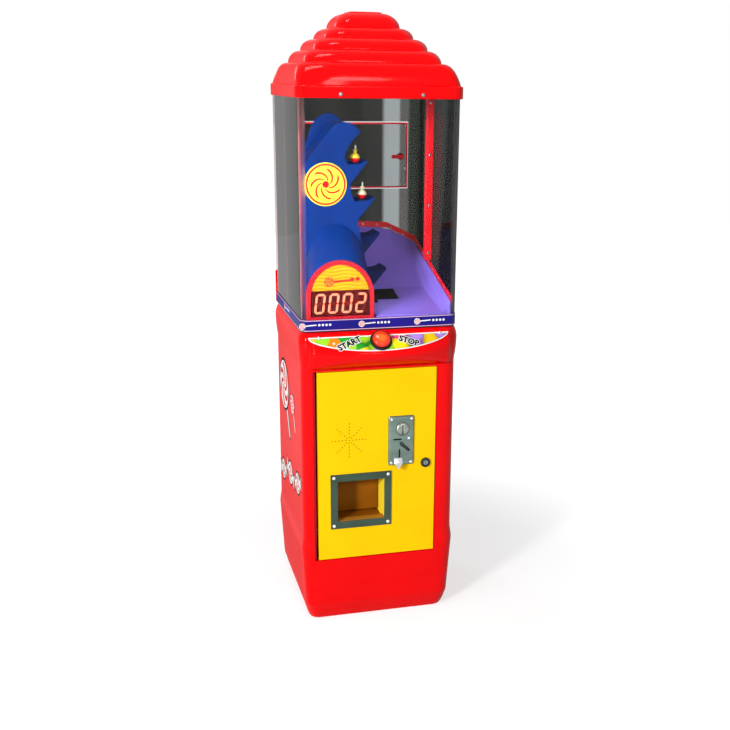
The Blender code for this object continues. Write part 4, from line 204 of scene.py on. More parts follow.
def clearSheet(name, colour, roughness, haze, zones=(), bend=None):
    s = sheetSettings
    made, tree, shader = newLook(name, {"Transmission Weight": 1.0, "IOR": s["index"]})
    index = mapRange(tree, facingShare(tree), *s["grazing"], s["index"], s["grazingIndex"], "LINEAR")
    place = objectPoint(tree)
    x, y, z = splitPoint(tree, place)
    streaks = mapRange(tree, noise(tree, objectPoint(tree, s["streak"]), 1.0, 5.0), *s["streakEdges"])
    tone = mixColour(tree, streaks, toned(colour, 1.0 - haze), colour)
    # the zones paint reflection and shade into the sheet's tone
    for low, high, soft, bottom, top, zoneColour in zones:
        inside = 1.0
        for value, start, stop, blur in ((x, low, high, soft), (z, bottom, top, s["zoneBlur"])):
            falling = calc(tree, "SUBTRACT", 1.0, edgeShare(tree, value, stop, blur))
            within = calc(tree, "MULTIPLY", edgeShare(tree, value, start, blur), falling)
            inside = calc(tree, "MULTIPLY", within, inside)
        tone = mixColour(tree, inside, tone, zoneColour)
    dust = mapRange(tree, noise(tree, place, s["dustScale"], 6.0), *s["dustEdges"])
    rough = calc(tree, "MULTIPLY_ADD", dust, s["dustRough"], roughness)
    if bend:
        # the left wall mirrors a little more, and the sheet is hazy where it is bent round the front corners
        index = calc(tree, "MULTIPLY_ADD", calc(tree, "LESS_THAN", x, s["leftWall"]), s["leftIndex"], index)
        across = edgeShare(tree, calc(tree, "ABSOLUTE", x), bend, s["bendBlur"])
        near = edgeShare(tree, calc(tree, "MULTIPLY", y, -1.0), bend, s["bendBlur"])
        rough = calc(tree, "MULTIPLY_ADD", calc(tree, "MULTIPLY", across, near), s["bendRough"], rough)
    feed(tree, shader, {"IOR": index, "Base Color": tone, "Roughness": rough})
    finishes[name] = made


# Zones of painted reflection and painted shade on the sheets: low x, high x, blur, low z, high z, colour
# clear sheet: the right wall darkened as painted shade, the left wall pink as a painted reflection of red surroundings,
# grey above 1.255
clearShadeAndReflection = ((0.190, 0.4, 0.004, 0.0, 2.0, (0.050, 0.060, 0.056, 1.0)),
              (-0.4, -0.190, 0.004, 0.0, 2.0, (0.96, 0.70, 0.70, 1.0)),
              (-0.4, -0.190, 0.004, 1.255, 2.0, (0.55, 0.48, 0.46, 1.0)))
# smoked sheets: a pale band fading to dark towards the right as a painted reflection, navy below 0.822 as painted shade
# where the bowl's notch shows through
smokedReflectionAndShade = ((0.102, 0.150, 0.007, 0.0, 2.0, (0.36, 0.38, 0.39, 1.0)),
               (0.172, 0.400, 0.006, 0.0, 2.0, (0.030, 0.036, 0.028, 1.0)),
               (0.150, 0.174, 0.005, 0.0, 2.0, (0.12, 0.115, 0.11, 1.0)),
               (-0.4, 0.400, 0.006, 0.0, 0.822, (0.020, 0.060, 0.340, 1.0)))
clearSheet("clear", (0.93, 0.96, 0.95, 1.0), 0.002, 0.05, clearShadeAndReflection, 0.182)
clearSheet("smoked", (0.036, 0.036, 0.033, 1.0), 0.02, 0.45, smokedReflectionAndShade)
# the right side sheet is darkened as painted shade
clearSheet("smokedSide", (0.05, 0.058, 0.045, 1.0), 0.006, 0.45)
clearSheet("tube", (0.80, 0.84, 0.84, 1.0), 0.10, 0.10)


# Printed patterns and painted light, each painted over a finish's tone
def colourSteps(tree, value, colours):
    made = addNode(tree, "ShaderNodeValToRGB", {"Fac": value})
    ramp = made.color_ramp
    ramp.interpolation = "CONSTANT"
    while len(ramp.elements) < len(colours):
        ramp.elements.new(0.5)
    for index, colour in enumerate(colours):
        ramp.elements[index].position = index / len(colours)
        ramp.elements[index].color = colour
    return made.outputs[0]

decalPrint = {"scale": 30.0, "random": 0.75, "shadeEdges": (0.38, 0.85), "shade": (0.42, 0.42, 0.36, 1.0),
              "glint": (-0.0035, 0.0, 0.0045), "glintEdges": (0.001, 0.0042), "glintShare": 0.8,
              "glintColour": (0.92, 0.92, 0.88, 1.0), "line": (0.0036, srgb(20, 60, 24)),
              "border": (0.0030, srgb(238, 238, 230)),
              "colours": (srgb(36, 158, 44), srgb(250, 222, 24), srgb(226, 60, 120), srgb(250, 128, 20),
                          srgb(150, 206, 40), srgb(176, 130, 222), srgb(244, 196, 20))}
stripePrint = {"waves": 95.0, "sway": 0.0022, "rows": 720.0, "edges": (-0.25, 0.35), "colour": srgb(192, 122, 8)}
boxLightShade = {"litWallEdges": (0.0085, 0.0100), "right": srgb(255, 226, 50), "floor": 0.2835, "lip": -0.176,
            "low": srgb(176, 118, 36)}
buttonLightShade = {"highlightEdges": (0.006, 0.018), "middle": srgb(255, 112, 22), "rimShadeEdges": (0.018, 0.025),
               "rim": srgb(168, 8, 0)}


def candyPaint(tree, tone):
    s = decalPrint
    place = objectPoint(tree)
    cells = addNode(tree, "ShaderNodeTexVoronoi", {"Vector": place, "Scale": s["scale"],
                                                   "Randomness": s["random"]}).outputs
    pick = addNode(tree, "ShaderNodeSeparateColor", {"Color": cells["Color"]}).outputs[0]
    ball = colourSteps(tree, pick, s["colours"])
    deep = mixColour(tree, 1.0, ball, s["shade"], "MULTIPLY")
    ball = mixColour(tree, mapRange(tree, cells["Distance"], *s["shadeEdges"]), ball, deep)
    local = vectorCalc(tree, "SUBTRACT", place, cells["Position"])
    away = vectorCalc(tree, "DISTANCE", local, s["glint"], output="Value")
    glint = calc(tree, "SUBTRACT", 1.0, mapRange(tree, away, *s["glintEdges"]))
    ball = mixColour(tree, calc(tree, "MULTIPLY", glint, s["glintShare"]), ball, s["glintColour"])
    edge = addNode(tree, "ShaderNodeAttribute", attribute_name="edge").outputs["Fac"]
    for width, colour in (s["line"], s["border"]):
        ball = mixColour(tree, calc(tree, "LESS_THAN", edge, width), ball, colour)
    return ball


def stripePaint(tree, tone):
    s = stripePrint
    x, y, z = splitPoint(tree, objectPoint(tree))
    wave = calc(tree, "MULTIPLY", calc(tree, "SINE", calc(tree, "MULTIPLY", x, s["waves"])), s["sway"])
    rows = calc(tree, "SINE", calc(tree, "MULTIPLY", calc(tree, "ADD", z, wave), s["rows"]))
    return mixColour(tree, mapRange(tree, rows, *s["edges"]), tone, s["colour"])


# Painted light in the prize box: its right wall yellow where light falls on it, and the front of its floor a lighter
# orange
def boxPaint(tree, tone):
    s = boxLightShade
    x, y, z = splitPoint(tree, objectPoint(tree))
    tone = mixColour(tree, mapRange(tree, x, *s["litWallEdges"]), tone, s["right"])
    low, near = calc(tree, "LESS_THAN", z, s["floor"]), calc(tree, "LESS_THAN", y, s["lip"])
    return mixColour(tree, calc(tree, "MULTIPLY", low, near), tone, s["low"])


# Painted light on the start button's dome: a brighter orange middle as painted highlight, a darker red rim as painted
# shade
def buttonPaint(tree, tone):
    s = buttonLightShade
    centre = sum((Vector(corner) for corner in nodes["start_button"].bound_box), Vector()) / 8
    away = vectorCalc(tree, "DISTANCE", objectPoint(tree), centre, output="Value")
    tone = mixColour(tree, mapRange(tree, away, *s["highlightEdges"]), s["middle"], tone)
    return mixColour(tree, mapRange(tree, away, *s["rimShadeEdges"]), tone, s["rim"])


# the start button's tone carries that painted highlight and shade, and its faint glow is painted light too
finish("buttonOrange", (246, 52, 4), 0.12, grain=0.01, scuff=0.06, specular=0.7, emission=0.16, paint=buttonPaint)
finish("decal", (240, 220, 60), 0.26, drift=0.02, scuff=0.08, specular=0.25, paint=candyPaint)
finish("faceStripes", (222, 156, 14), 0.30, drift=0.03, grain=0.03, specular=0.22, paint=stripePaint)
# the prize box's brown base tone is painted shade over the box's yellow
finish("prizeBox", (140, 80, 6), 0.34, drift=0.14, grain=0.04, scuff=0.30, specular=0.25, paint=boxPaint)


# Mesh helpers
def linked(name, data):
    made = bpy.data.objects.new(name, data)
    bpy.context.scene.collection.objects.link(made)
    return made


def discard(made):
    bpy.data.objects.remove(made, do_unlink=True)


def meshObject(name, verts, faces):
    mesh = bpy.data.meshes.new(name)
    mesh.from_pydata([tuple(v) for v in verts], [], faces)
    mesh.update()
    return linked(name, mesh)


def smoothShade(made, sharp):
    made.data.shade_smooth()
    made.data.set_sharp_from_angle(angle=math.radians(sharp))


def weld(mesh, merge, flat=None, recalc=False):
    bm = bmesh.new()
    bm.from_mesh(mesh)
    bmesh.ops.remove_doubles(bm, verts=bm.verts, dist=merge)
    if flat:
        bmesh.ops.dissolve_limit(bm, angle_limit=math.radians(flat), verts=bm.verts, edges=bm.edges)
    if recalc:
        bmesh.ops.recalc_face_normals(bm, faces=bm.faces)
    bm.to_mesh(mesh)
    bm.free()


def tidyMesh(made, merge=0.00002, sharp=35):
    weld(made.data, merge, recalc=True)
    smoothShade(made, sharp)


def boxMesh(name, spanX, spanY, spanZ):
    made = meshObject(name, [(x, y, z) for x in spanX for y in spanY for z in spanZ],
                      [(0, 1, 3, 2), (4, 6, 7, 5), (0, 4, 5, 1), (2, 3, 7, 6), (0, 2, 6, 4), (1, 5, 7, 3)])
    tidyMesh(made)
    return made


def bake(made):
    bpy.context.view_layer.update()
    graph = bpy.context.evaluated_depsgraph_get()
    mesh = bpy.data.meshes.new_from_object(made.evaluated_get(graph))
    made.modifiers.clear()
    if made.type == "MESH":
        made.data = mesh
        return made
    name = made.name
    mesh.transform(made.matrix_world)
    discard(made)
    return linked(name, mesh)


def rounded(made, width, segments=2, angle=38):
    modifier = made.modifiers.new("edge", "BEVEL")
    modifier.width = width
    modifier.segments = segments
    modifier.limit_method = "ANGLE"
    modifier.angle_limit = math.radians(angle)
    return bake(made)


def cut(made, cutter):
    modifier = made.modifiers.new("cut", "BOOLEAN")
    modifier.object = cutter
    modifier.solver = "EXACT"
    bake(made)
    discard(cutter)


def wear(made, body, look, slot, *replaced):
    made.data.materials.clear()
    made.data.materials.append(finishes[look])
    if replaced:
        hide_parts(*replaced)
    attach(made, body)
    return made


# A copy of a solid: its flats merged where its edges are rounded
def copied(node, name, flat=None):
    mesh = nodes[node].data.copy()
    weld(mesh, 0.00001, flat)
    return linked(name, mesh)


def softened(node, name, width, look, slot, body, segments=2, angle=38, sharp=32):
    made = rounded(copied(node, name, 0.6), width, segments, angle)
    smoothShade(made, sharp)
    even = made.modifiers.new("even", "WEIGHTED_NORMAL")
    even.weight = 100
    even.keep_sharp = True
    return wear(bake(made), body, look, slot, node)


def smoothed(node, name, look, slot, body, sharp=40):
    made = copied(node, name)
    smoothShade(made, sharp)
    return wear(made, body, look, slot, node)


def polyCurve(name, lines, closed=False, **settings):
    curve = bpy.data.curves.new(name, "CURVE")
    for key, value in settings.items():
        setattr(curve, key, value)
    for line in lines:
        spline = curve.splines.new("POLY")
        spline.points.add(len(line) - 1)
        for point, place in zip(spline.points, line):
            point.co = (*place, 1.0)
        spline.use_cyclic_u = closed
    return linked(name, curve)


frontTurn = Matrix.Rotation(math.pi / 2, 4, "X")
leftTurn = Matrix.Rotation(-math.pi / 2, 4, "Z") @ frontTurn
rightTurn = Matrix.Rotation(math.pi / 2, 4, "Z") @ frontTurn


def plateMesh(name, outlines, thickness, origin, turn=frontTurn):
    lines = [[(across, up, 0.0) for across, up in outline] for outline in outlines]
    made = polyCurve(name, lines, True, dimensions="2D", fill_mode="BOTH", extrude=thickness / 2)
    made.matrix_world = Matrix.Translation(origin) @ turn
    made = bake(made)
    tidyMesh(made)
    return made


def polar(x, z, radius, angle):
    return (x + radius * math.cos(angle), z + radius * math.sin(angle))


def lathe(name, profile, origin, direction, steps=40):
    turn = Vector(direction).to_track_quat("Z", "Y").to_matrix().to_4x4()
    place = Matrix.Translation(origin) @ turn
    verts, faces = [], []
    for step in range(steps):
        angle = math.tau * step / steps
        verts += [place @ Vector((r * math.cos(angle), r * math.sin(angle), h)) for r, h in profile]
    count = len(profile)
    for step in range(steps):
        here, after = step * count, (step + 1) % steps * count
        faces += [(here + i, after + i, after + i + 1, here + i + 1) for i in range(count - 1)]
    made = meshObject(name, verts, faces)
    tidyMesh(made, merge=0.000005)
    return made


# Camera, at the photograph's viewing angle
cameraView = {"yaw": 15.841, "pitch": 17.183, "roll": 0.858, "focal": 1078.679, "centre": (412.86, 411.62),
              "place": (-0.634, -2.738, 1.380), "width": 730}


def makeCamera(view):
    yaw, pitch, roll = (math.radians(view[key]) for key in ("yaw", "pitch", "roll"))
    forward = Vector((math.sin(yaw) * math.cos(pitch), math.cos(yaw) * math.cos(pitch), -math.sin(pitch)))
    level = Vector((math.cos(yaw), -math.sin(yaw), 0.0))
    upright = level.cross(forward)
    right = level * math.cos(roll) + upright * math.sin(roll)
    up = -level * math.sin(roll) + upright * math.cos(roll)
    data = bpy.data.cameras.new("photoCamera")
    data.lens = 36.0 * view["focal"] / view["width"]
    data.shift_x = -(view["centre"][0] - view["width"] / 2) / view["width"]
    data.shift_y = (view["centre"][1] - view["width"] / 2) / view["width"]
    made = linked("photoCamera", data)
    turn = Matrix((right, up, -forward)).transposed().to_4x4()
    made.matrix_world = Matrix.Translation(view["place"]) @ turn
    bpy.context.scene.camera = made


makeCamera(cameraView)
print("camera placed")


# Geometry Nodes groups: what they take in, and how they end
def startTree(name, sockets):
    tree = bpy.data.node_groups.new(name, "GeometryNodeTree")
    for label, kind in (("Geometry", "Geometry"),) + sockets:
        tree.interface.new_socket(label, in_out="INPUT", socket_type="NodeSocket" + kind)
    tree.interface.new_socket("Geometry", in_out="OUTPUT", socket_type="NodeSocketGeometry")
    return tree, addNode(tree, "NodeGroupInput").outputs


def endTree(tree, geometry, look):
    real = addNode(tree, "GeometryNodeRealizeInstances", {"Geometry": geometry}).outputs[0]
    dressed = addNode(tree, "GeometryNodeSetMaterial", {"Geometry": real, "Material": look}).outputs[0]
    addNode(tree, "NodeGroupOutput", {"Geometry": dressed})
    return tree


def runTree(made, tree, inputs):
    modifier = made.modifiers.new("nodes", "NODES")
    modifier.node_group = tree
    for item in tree.interface.items_tree:
        if item.item_type == "SOCKET" and item.in_out == "INPUT" and item.name in inputs:
            modifier[item.identifier] = inputs[item.name]
    return bake(made)


# A ring body: a rounded square whose size and height follow a profile curve
def ringTree():
    tree, source = startTree("ringBody", (("Profile", "Object"), ("Low corner", "Float"), ("High corner", "Float"),
                                          ("Low height", "Float"), ("High height", "Float"), ("Around", "Int"),
                                          ("Levels", "Int"), ("Finish", "Material")))
    grid = addNode(tree, "GeometryNodeMeshGrid", {"Vertices X": source["Around"], "Vertices Y": source["Levels"],
                                                  "Size X": 1.0, "Size Y": 1.0}).outputs["Mesh"]
    position = splitPoint(tree, addNode(tree, "GeometryNodeInputPosition").outputs[0])
    around, along = (calc(tree, "ADD", position[axis], 0.5) for axis in (0, 1))
    square = addNode(tree, "GeometryNodeCurvePrimitiveQuadrilateral", {"Width": 2.0, "Height": 2.0}).outputs[0]
    plans = []
    for key in ("Low corner", "High corner"):
        fillet = addNode(tree, "GeometryNodeFilletCurve", {"Curve": square, "Radius": source[key], "Count": 10},
                         mode="POLY").outputs[0]
        sample = addNode(tree, "GeometryNodeSampleCurve", {"Curves": fillet, "Factor": around}, mode="FACTOR")
        plans.append(sample.outputs["Position"])
    outline = addNode(tree, "GeometryNodeObjectInfo", {"Object": source["Profile"]}).outputs["Geometry"]
    profile = addNode(tree, "GeometryNodeSampleCurve", {"Curves": outline, "Factor": along}, mode="FACTOR")
    profile = splitPoint(tree, profile.outputs["Position"])
    reach, height = profile[0], profile[2]
    share = mapRange(tree, height, source["Low height"], source["High height"], kind="LINEAR")
    plan = addNode(tree, "ShaderNodeMix", {0: share, 4: plans[0], 5: plans[1]}, data_type="VECTOR").outputs[1]
    flat = addNode(tree, "ShaderNodeVectorMath", {0: plan, "Scale": reach}, operation="SCALE").outputs[0]
    lift = addNode(tree, "ShaderNodeCombineXYZ", {"Z": height}).outputs[0]
    place = vectorCalc(tree, "ADD", flat, lift)
    moved = addNode(tree, "GeometryNodeSetPosition", {"Geometry": grid, "Position": place}).outputs[0]
    merged = addNode(tree, "GeometryNodeMergeByDistance", {"Geometry": moved, "Distance": 0.00002}).outputs[0]
    return endTree(tree, merged, source["Finish"])


ringGroup = ringTree()


def ringBody(name, profile, corners, heights, levels, sharp, around=129):
    guide = polyCurve(name + "Profile", [[(reach, 0.0, height) for reach, height in profile]], dimensions="3D")
    made = runTree(meshObject(name, [(0, 0, 0)], []), ringGroup,
                   {"Profile": guide, "Low corner": corners[0], "High corner": corners[1], "Low height": heights[0],
                    "High height": heights[1], "Around": around, "Levels": levels, "Finish": finishes["redGloss"]})
    discard(guide)
    tidyMesh(made, sharp=sharp)
    return made


def curveThrough(points, steps=6):
    result = []
    for i in range(len(points) - 1):
        p0, p1 = Vector(points[max(i - 1, 0)]), Vector(points[i])
        p2, p3 = Vector(points[i + 1]), Vector(points[min(i + 2, len(points) - 1)])
        for step in range(steps):
            t = step / steps
            result.append(tuple((2 * p1 + (p2 - p0) * t + (2 * p0 - 5 * p1 + 4 * p2 - p3) * t ** 2
                                 + (3 * p1 - p0 - 3 * p2 + p3) * t ** 3) / 2))
    result.append(tuple(points[-1]))
    return result


# Roof: rim and five swelling tiers
roofSettings = {"rim": (1.3330, 1.3620), "rimHalf": 0.2038, "wall": 0.0035, "ceiling": 1.3475, "tierSteps": 12,
                "halves": (0.1996, 0.1712, 0.1424, 0.1110, 0.0810), "feet": (1.3625, 1.4130, 1.4420, 1.4690, 1.4940),
                "tops": (1.4125, 1.4415, 1.4685, 1.4935, 1.5280), "shoulders": (0.1720, 0.1432, 0.1120, 0.0820, 0.0430),
                "squareShares": (0.80, 1.02, 1.02, 1.06, 1.12), "crown": (0.0400, 1.5310),
                "corners": (0.118, 0.415), "cornerHeights": (1.3620, 1.5100)}


def makeRoof(s):
    rimLow, rimHigh = s["rim"]
    inner = s["rimHalf"] - s["wall"]
    profile = [(0.0, s["ceiling"]), (inner, s["ceiling"]), (inner, rimLow + 0.001), (inner + 0.001, rimLow),
               (s["rimHalf"] - 0.001, rimLow), (s["rimHalf"], rimLow + 0.0015), (s["rimHalf"], rimHigh - 0.002),
               (s["rimHalf"] - 0.002, rimHigh)]
    for widest, foot, top, shoulder, square in zip(s["halves"], s["feet"], s["tops"], s["shoulders"],
                                                   s["squareShares"]):
        for step in range(s["tierSteps"] + 1):
            angle = math.pi / 2 * step / s["tierSteps"]
            profile.append((shoulder + (widest - shoulder) * max(math.cos(angle), 0.0) ** square,
                            foot + (top - foot) * math.sin(angle) ** square))
    profile += [s["crown"], (0.0, s["crown"][1])]
    made = ringBody("roofDome", profile, s["corners"], s["cornerHeights"], levels=460, sharp=50, around=161)
    wear(made, "cabinet", "redGloss", "red_gloss", "roof")


makeRoof(roofSettings)

# Cabinet shell and plinth
shellSettings = {"wall": 0.004, "corner": 0.026, "door": (-0.173, 0.1495, 0.174, 0.683), "doorDepth": 0.02,
                 "doorRadius": 0.004,
                 "levels": ((-0.0025, 0.0883), (-0.0008, 0.120), (0.00175, 0.166), (0.0034, 0.196), (0.0032, 0.207),
                            (0.0008, 0.226), (0.0, 0.238), (0.0, 0.300), (0.0, 0.640), (0.0, 0.692), (0.0021, 0.712),
                            (0.0036, 0.728), (0.0044, 0.746), (0.0044, 0.757), (0.00225, 0.7695), (-0.0020, 0.782))}
plinthSettings = {"wall": 0.004, "corner": 0.13,
                  "levels": ((-0.0195, 0.0), (-0.0188, 0.002), (-0.0165, 0.006), (-0.0135, 0.014), (-0.01075, 0.022),
                             (-0.0078, 0.034), (-0.0052, 0.0425), (-0.0047, 0.047), (-0.0038, 0.064),
                             (-0.0026, 0.088))}


def wallProfile(levels, wall, steps=5):
    outer = [(half + offset, height) for offset, height in curveThrough(levels, steps)]
    inner = [(reach - wall, height) for reach, height in outer]
    return outer + inner[::-1] + outer[:1]


def makeShell(s):
    made = ringBody("cabinetShell", wallProfile(s["levels"], s["wall"]), (s["corner"] / half,) * 2, (0.0, 1.0),
                    levels=260, sharp=60)
    left, right, bottom, top = s["door"]
    radius = s["doorRadius"]
    outline = [polar(cx, cz, radius, math.radians(start + step * 22.5)) for cx, cz, start in (
        (right - radius, bottom + radius, -90), (right - radius, top - radius, 0),
        (left + radius, top - radius, 90), (left + radius, bottom + radius, 180)) for step in range(5)]
    cut(made, plateMesh("doorCutter", [outline], s["doorDepth"], (0.0, -half, 0.0)))
    smoothShade(made, 40)
    wear(made, "cabinet", "redGloss", "red_gloss", "cabinet_shell")


makeShell(shellSettings)
made = ringBody("plinthSkirt", wallProfile(plinthSettings["levels"], plinthSettings["wall"]),
                (plinthSettings["corner"],) * 2, (0.0, 1.0), levels=140, sharp=60)
wear(made, "cabinet", "redGloss", "red_gloss", "plinth")
print("roof, shell and plinth made")

# Pieces whose solid has the right form: edges rounded, then finished
softList = (
    ("door_panel", "doorLeaf", 0.0007, "yellowPaint", "yellow_paint", "front_door"),
    ("door_jamb", "doorJamb", 0.0008, "redTrim", "red_trim", "cabinet"),
    ("coin_plate", "coinPlate", 0.0022, "coinMetal", "coin_metal", "front_door"),
    ("prize_frame", "prizeFrame", 0.0006, "frameMetal", "frame_metal", "front_door"),
    ("elevator_front_plate", "columnFront", 0.0019, "blueGloss", "blue_plastic", "cabinet"),
    ("elevator_rear_plate", "columnRear", 0.0012, "blueGloss", "blue_plastic", "cabinet"),
    ("elevator_shroud", "columnShroud", 0.0008, "blueGloss", "blue_plastic", "cabinet"),
    ("display_frame", "displayFrame", 0.0020, "frameRed", "red_trim", "cabinet"),
    ("display_housing", "displayHousing", 0.0008, "blueGloss", "blue_plastic", "cabinet"),
    ("fixed_comb", "fixedComb", 0.0007, "navyGloss", "blue_plastic", "cabinet"),
    ("lifter_comb", "liftingComb", 0.0007, "navyGloss", "dark_blue_plastic", "lifter"),
    ("hopper_edging", "hopperEdging", 0.0006, "redTrim", "red_trim", "cabinet"),
    ("case_post_left", "postLeft", 0.0012, "redTrim", "red_trim", "cabinet"),
    ("case_post_right", "postRight", 0.0012, "redTrim", "red_trim", "cabinet"),
    ("rear_door_trim", "rearTrim", 0.0005, "redTrim", "red_trim", "rear_door"),
    ("rear_upstand", "rearUpstand", 0.0012, "redGloss", "red_gloss", "cabinet"),
    ("deck_plate", "deckPlate", 0.0006, "blackPlastic", "black_plastic", "cabinet"),
    ("cash_box", "cashBox", 0.0005, "steel", "steel", "cabinet"),
    ("power_inlet", "powerInlet", 0.0006, "blackPlastic", "black_plastic", "cabinet"),
)
for node, name, width, look, slot, body in softList:
    softened(node, name, width, look, slot, body)
softened("hopper", "candyBowl", 0.0022, "purpleGloss", "purple_plastic", "cabinet", segments=3, angle=8, sharp=60)
print("rounded pieces made")

# Lining of the door opening's hinge side
liningSettings = {"x": (-0.1745, -0.1666), "y": (-0.1950, -0.1850), "z": (0.1770, 0.6800)}
wear(boxMesh("jambLining", *liningSettings.values()), "cabinet", "redTrim", "red_trim")

# Case front and the printed strip round its foot: walls that follow the case's plan
caseSettings = {"reach": 0.1975, "corner": 0.0200, "wall": 0.0030, "backY": 0.0307, "low": 0.7856, "high": 1.3377}
bandSettings = {"reach": 0.1992, "corner": 0.0217, "wall": 0.0014, "backY": 0.1890, "low": 0.7856, "high": 0.8136}
bandLines = {"proud": 0.0002, "height": 0.0016, "inset": 0.0008}


def planPath(reach, corner, backY, steps=10):
    path = [(-reach, backY)]
    for centre, start in ((corner - reach, 180), (reach - corner, 270)):
        path += [polar(centre, corner - reach, corner, math.radians(start + 90 * step / steps))
                 for step in range(steps + 1)]
    return path + [(reach, backY)]


def wallStrip(name, s):
    outer = planPath(s["reach"], s["corner"], s["backY"])
    inner = planPath(s["reach"] - s["wall"], s["corner"] - s["wall"], s["backY"])
    verts = []
    for (ox, oy), (ix, iy) in zip(outer, inner):
        verts += [(ox, oy, s["low"]), (ox, oy, s["high"]), (ix, iy, s["high"]), (ix, iy, s["low"])]
    faces = [(0, 1, 2, 3)]
    for i in range(len(outer) - 1):
        here, after = i * 4, i * 4 + 4
        faces += [(here + k, after + k, after + (k + 1) % 4, here + (k + 1) % 4) for k in range(4)]
    last = len(verts) - 4
    faces.append((last + 3, last + 2, last + 1, last))
    made = meshObject(name, verts, faces)
    tidyMesh(made, sharp=40)
    return made


wear(wallStrip("caseFront", caseSettings), "cabinet", "clear", "clear_acrylic", "case_front").visible_shadow = False
wear(wallStrip("caseBand", bandSettings), "cabinet", "bandBlue", "band_print", "case_band")
for name, low in (("bandLineLow", bandSettings["low"] + bandLines["inset"]),
                  ("bandLineHigh", bandSettings["high"] - bandLines["inset"] - bandLines["height"])):
    line = dict(bandSettings, low=low, high=low + bandLines["height"], wall=bandLines["proud"],
                reach=bandSettings["reach"] + bandLines["proud"], corner=bandSettings["corner"] + bandLines["proud"])
    wear(wallStrip(name, line), "cabinet", "softPink", "band_print")


# Flat shapes for the prints
def discPoints(x, z, radius, count=36):
    return [polar(x, z, radius, math.tau * i / count) for i in range(count)]


def swirlPoints(x, z, low, high, arms, width, twist, steps=9):
    outlines = []
    for arm in range(arms):
        near, far = [], []
        for step in range(steps):
            share = step / (steps - 1)
            radius, angle = low + (high - low) * share, math.tau * arm / arms + twist * share
            near.append(polar(x, z, radius, angle))
            far.append(polar(x, z, radius, angle + width))
        outlines.append(near + far[::-1])
    return outlines


def barPoints(x, z, length, width, angle):
    across, along = Vector((-math.sin(angle), math.cos(angle))), Vector((math.cos(angle), math.sin(angle)))
    centre = Vector((x, z))
    result = []
    for end, start in ((centre + along * length, -90), (centre, 90)):
        for step in range(5):
            turn = math.radians(start + 45 * step)
            result.append(tuple(end + along * (math.cos(turn) * width / 2) + across * (math.sin(turn) * width / 2)))
    return result


def sweetPoints(x, z, radius, angle, grow=0.0):
    body = radius + grow
    points = [(body * math.cos(math.radians(a)), body * math.sin(math.radians(a))) for a in range(22, 159, 8)]
    wing = [(-1.15 * radius, 0.22 * radius + grow), (-1.85 * radius - grow, 0.66 * radius + grow),
            (-1.62 * radius - grow, 0.0), (-1.85 * radius - grow, -0.66 * radius - grow),
            (-1.15 * radius, -0.22 * radius - grow)]
    points += wing
    points += [(-px, -pz) for px, pz in points[:]]
    c, n = math.cos(angle), math.sin(angle)
    return [(x + px * c - pz * n, z + px * n + pz * c) for px, pz in points]


printSettings = {"layer": 0.00022, "rise": 0.0002}


def printed(name, outlines, layer, look, ground):
    # the ground is the place of the print's origin, its turn, its body and its slot, and layers stack outwards
    face, turn, body, slot = ground
    outward = turn.to_3x3() @ Vector((0, 0, 1))
    lift = printSettings["layer"] / 2 + printSettings["rise"] * layer
    made = plateMesh(name, outlines, printSettings["layer"], Vector(face) + outward * lift, turn)
    return wear(made, body, look, slot)


# A printed lollipop with a swirl: dark outline, white sweet, coloured arms
lollySettings = {"edge": 0.10, "edgeShare": 1.6, "stickWidth": 0.20, "swirl": (0.12, 0.92), "arms": 6,
                 "armWidth": math.pi / 6 * 0.9, "twist": 1.5}


def lollyPrint(prefix, x, z, radius, angle, ground, stick=1.9):
    s = lollySettings
    edge, width = radius * s["edge"], radius * s["stickWidth"]
    length = radius * (1 + stick)
    swirl = swirlPoints(x, z, radius * s["swirl"][0], radius * s["swirl"][1], s["arms"], s["armWidth"], s["twist"])
    for layer, (label, outlines, look) in enumerate((
            ("StickEdge", [barPoints(x, z, length, width + edge * s["edgeShare"], angle)], "inkBlack"),
            ("Stick", [barPoints(x, z, length, width, angle)], "white"),
            ("Edge", [discPoints(x, z, radius + edge)], "inkBlack"), ("Sweet", [discPoints(x, z, radius)], "white"),
            ("Swirl", swirl, "inkRed"))):
        printed(prefix + label, outlines, layer, look, ground)


# Pictures on the cabinet's sides: a big lollipop above, wrapped sweets below
sideArt = {"reach": 0.2001, "lolly": (0.075, 0.580, 0.066, -58, 1.2), "small": (-0.055, 0.560, 0.026, -60),
           "sweets": ((0.116, 0.322, 0.028, 0.22), (0.000, 0.350, 0.031, -0.15), (-0.115, 0.362, 0.028, 0.30)),
           "outline": 0.0050, "swirl": (0.15, 0.82, 5, 0.5, 1.3)}


def makeSideArt(s, label, side, turn):
    ground = ((side * s["reach"], 0.0, 0.0), turn, "cabinet", "badge_print")
    x, z, radius, angle, stick = s["lolly"]
    angle = math.radians(angle)
    lollyPrint(label + "ArtLolly", side * x, z, radius, angle if side < 0 else math.pi - angle, ground, stick)
    x, z, radius, angle = s["small"]
    lollyPrint(label + "ArtSmall", side * x, z, radius, math.radians(angle), ground)
    for layer, look, grow in ((0, "inkBlack", s["outline"]), (1, "white", 0.0)):
        shapes = [sweetPoints(side * x, z, radius, turned, grow) for x, z, radius, turned in s["sweets"]]
        printed(label + "ArtSweets" + look, shapes, layer, look, ground)
    low, high, *arms = s["swirl"]
    swirls = [arm for x, z, radius, turned in s["sweets"]
              for arm in swirlPoints(side * x, z, radius * low, radius * high, *arms)]
    printed(label + "ArtSweetSwirls", swirls, 2, "inkRed", ground)


makeSideArt(sideArt, "left", -1, leftTurn)
makeSideArt(sideArt, "right", 1, rightTurn)

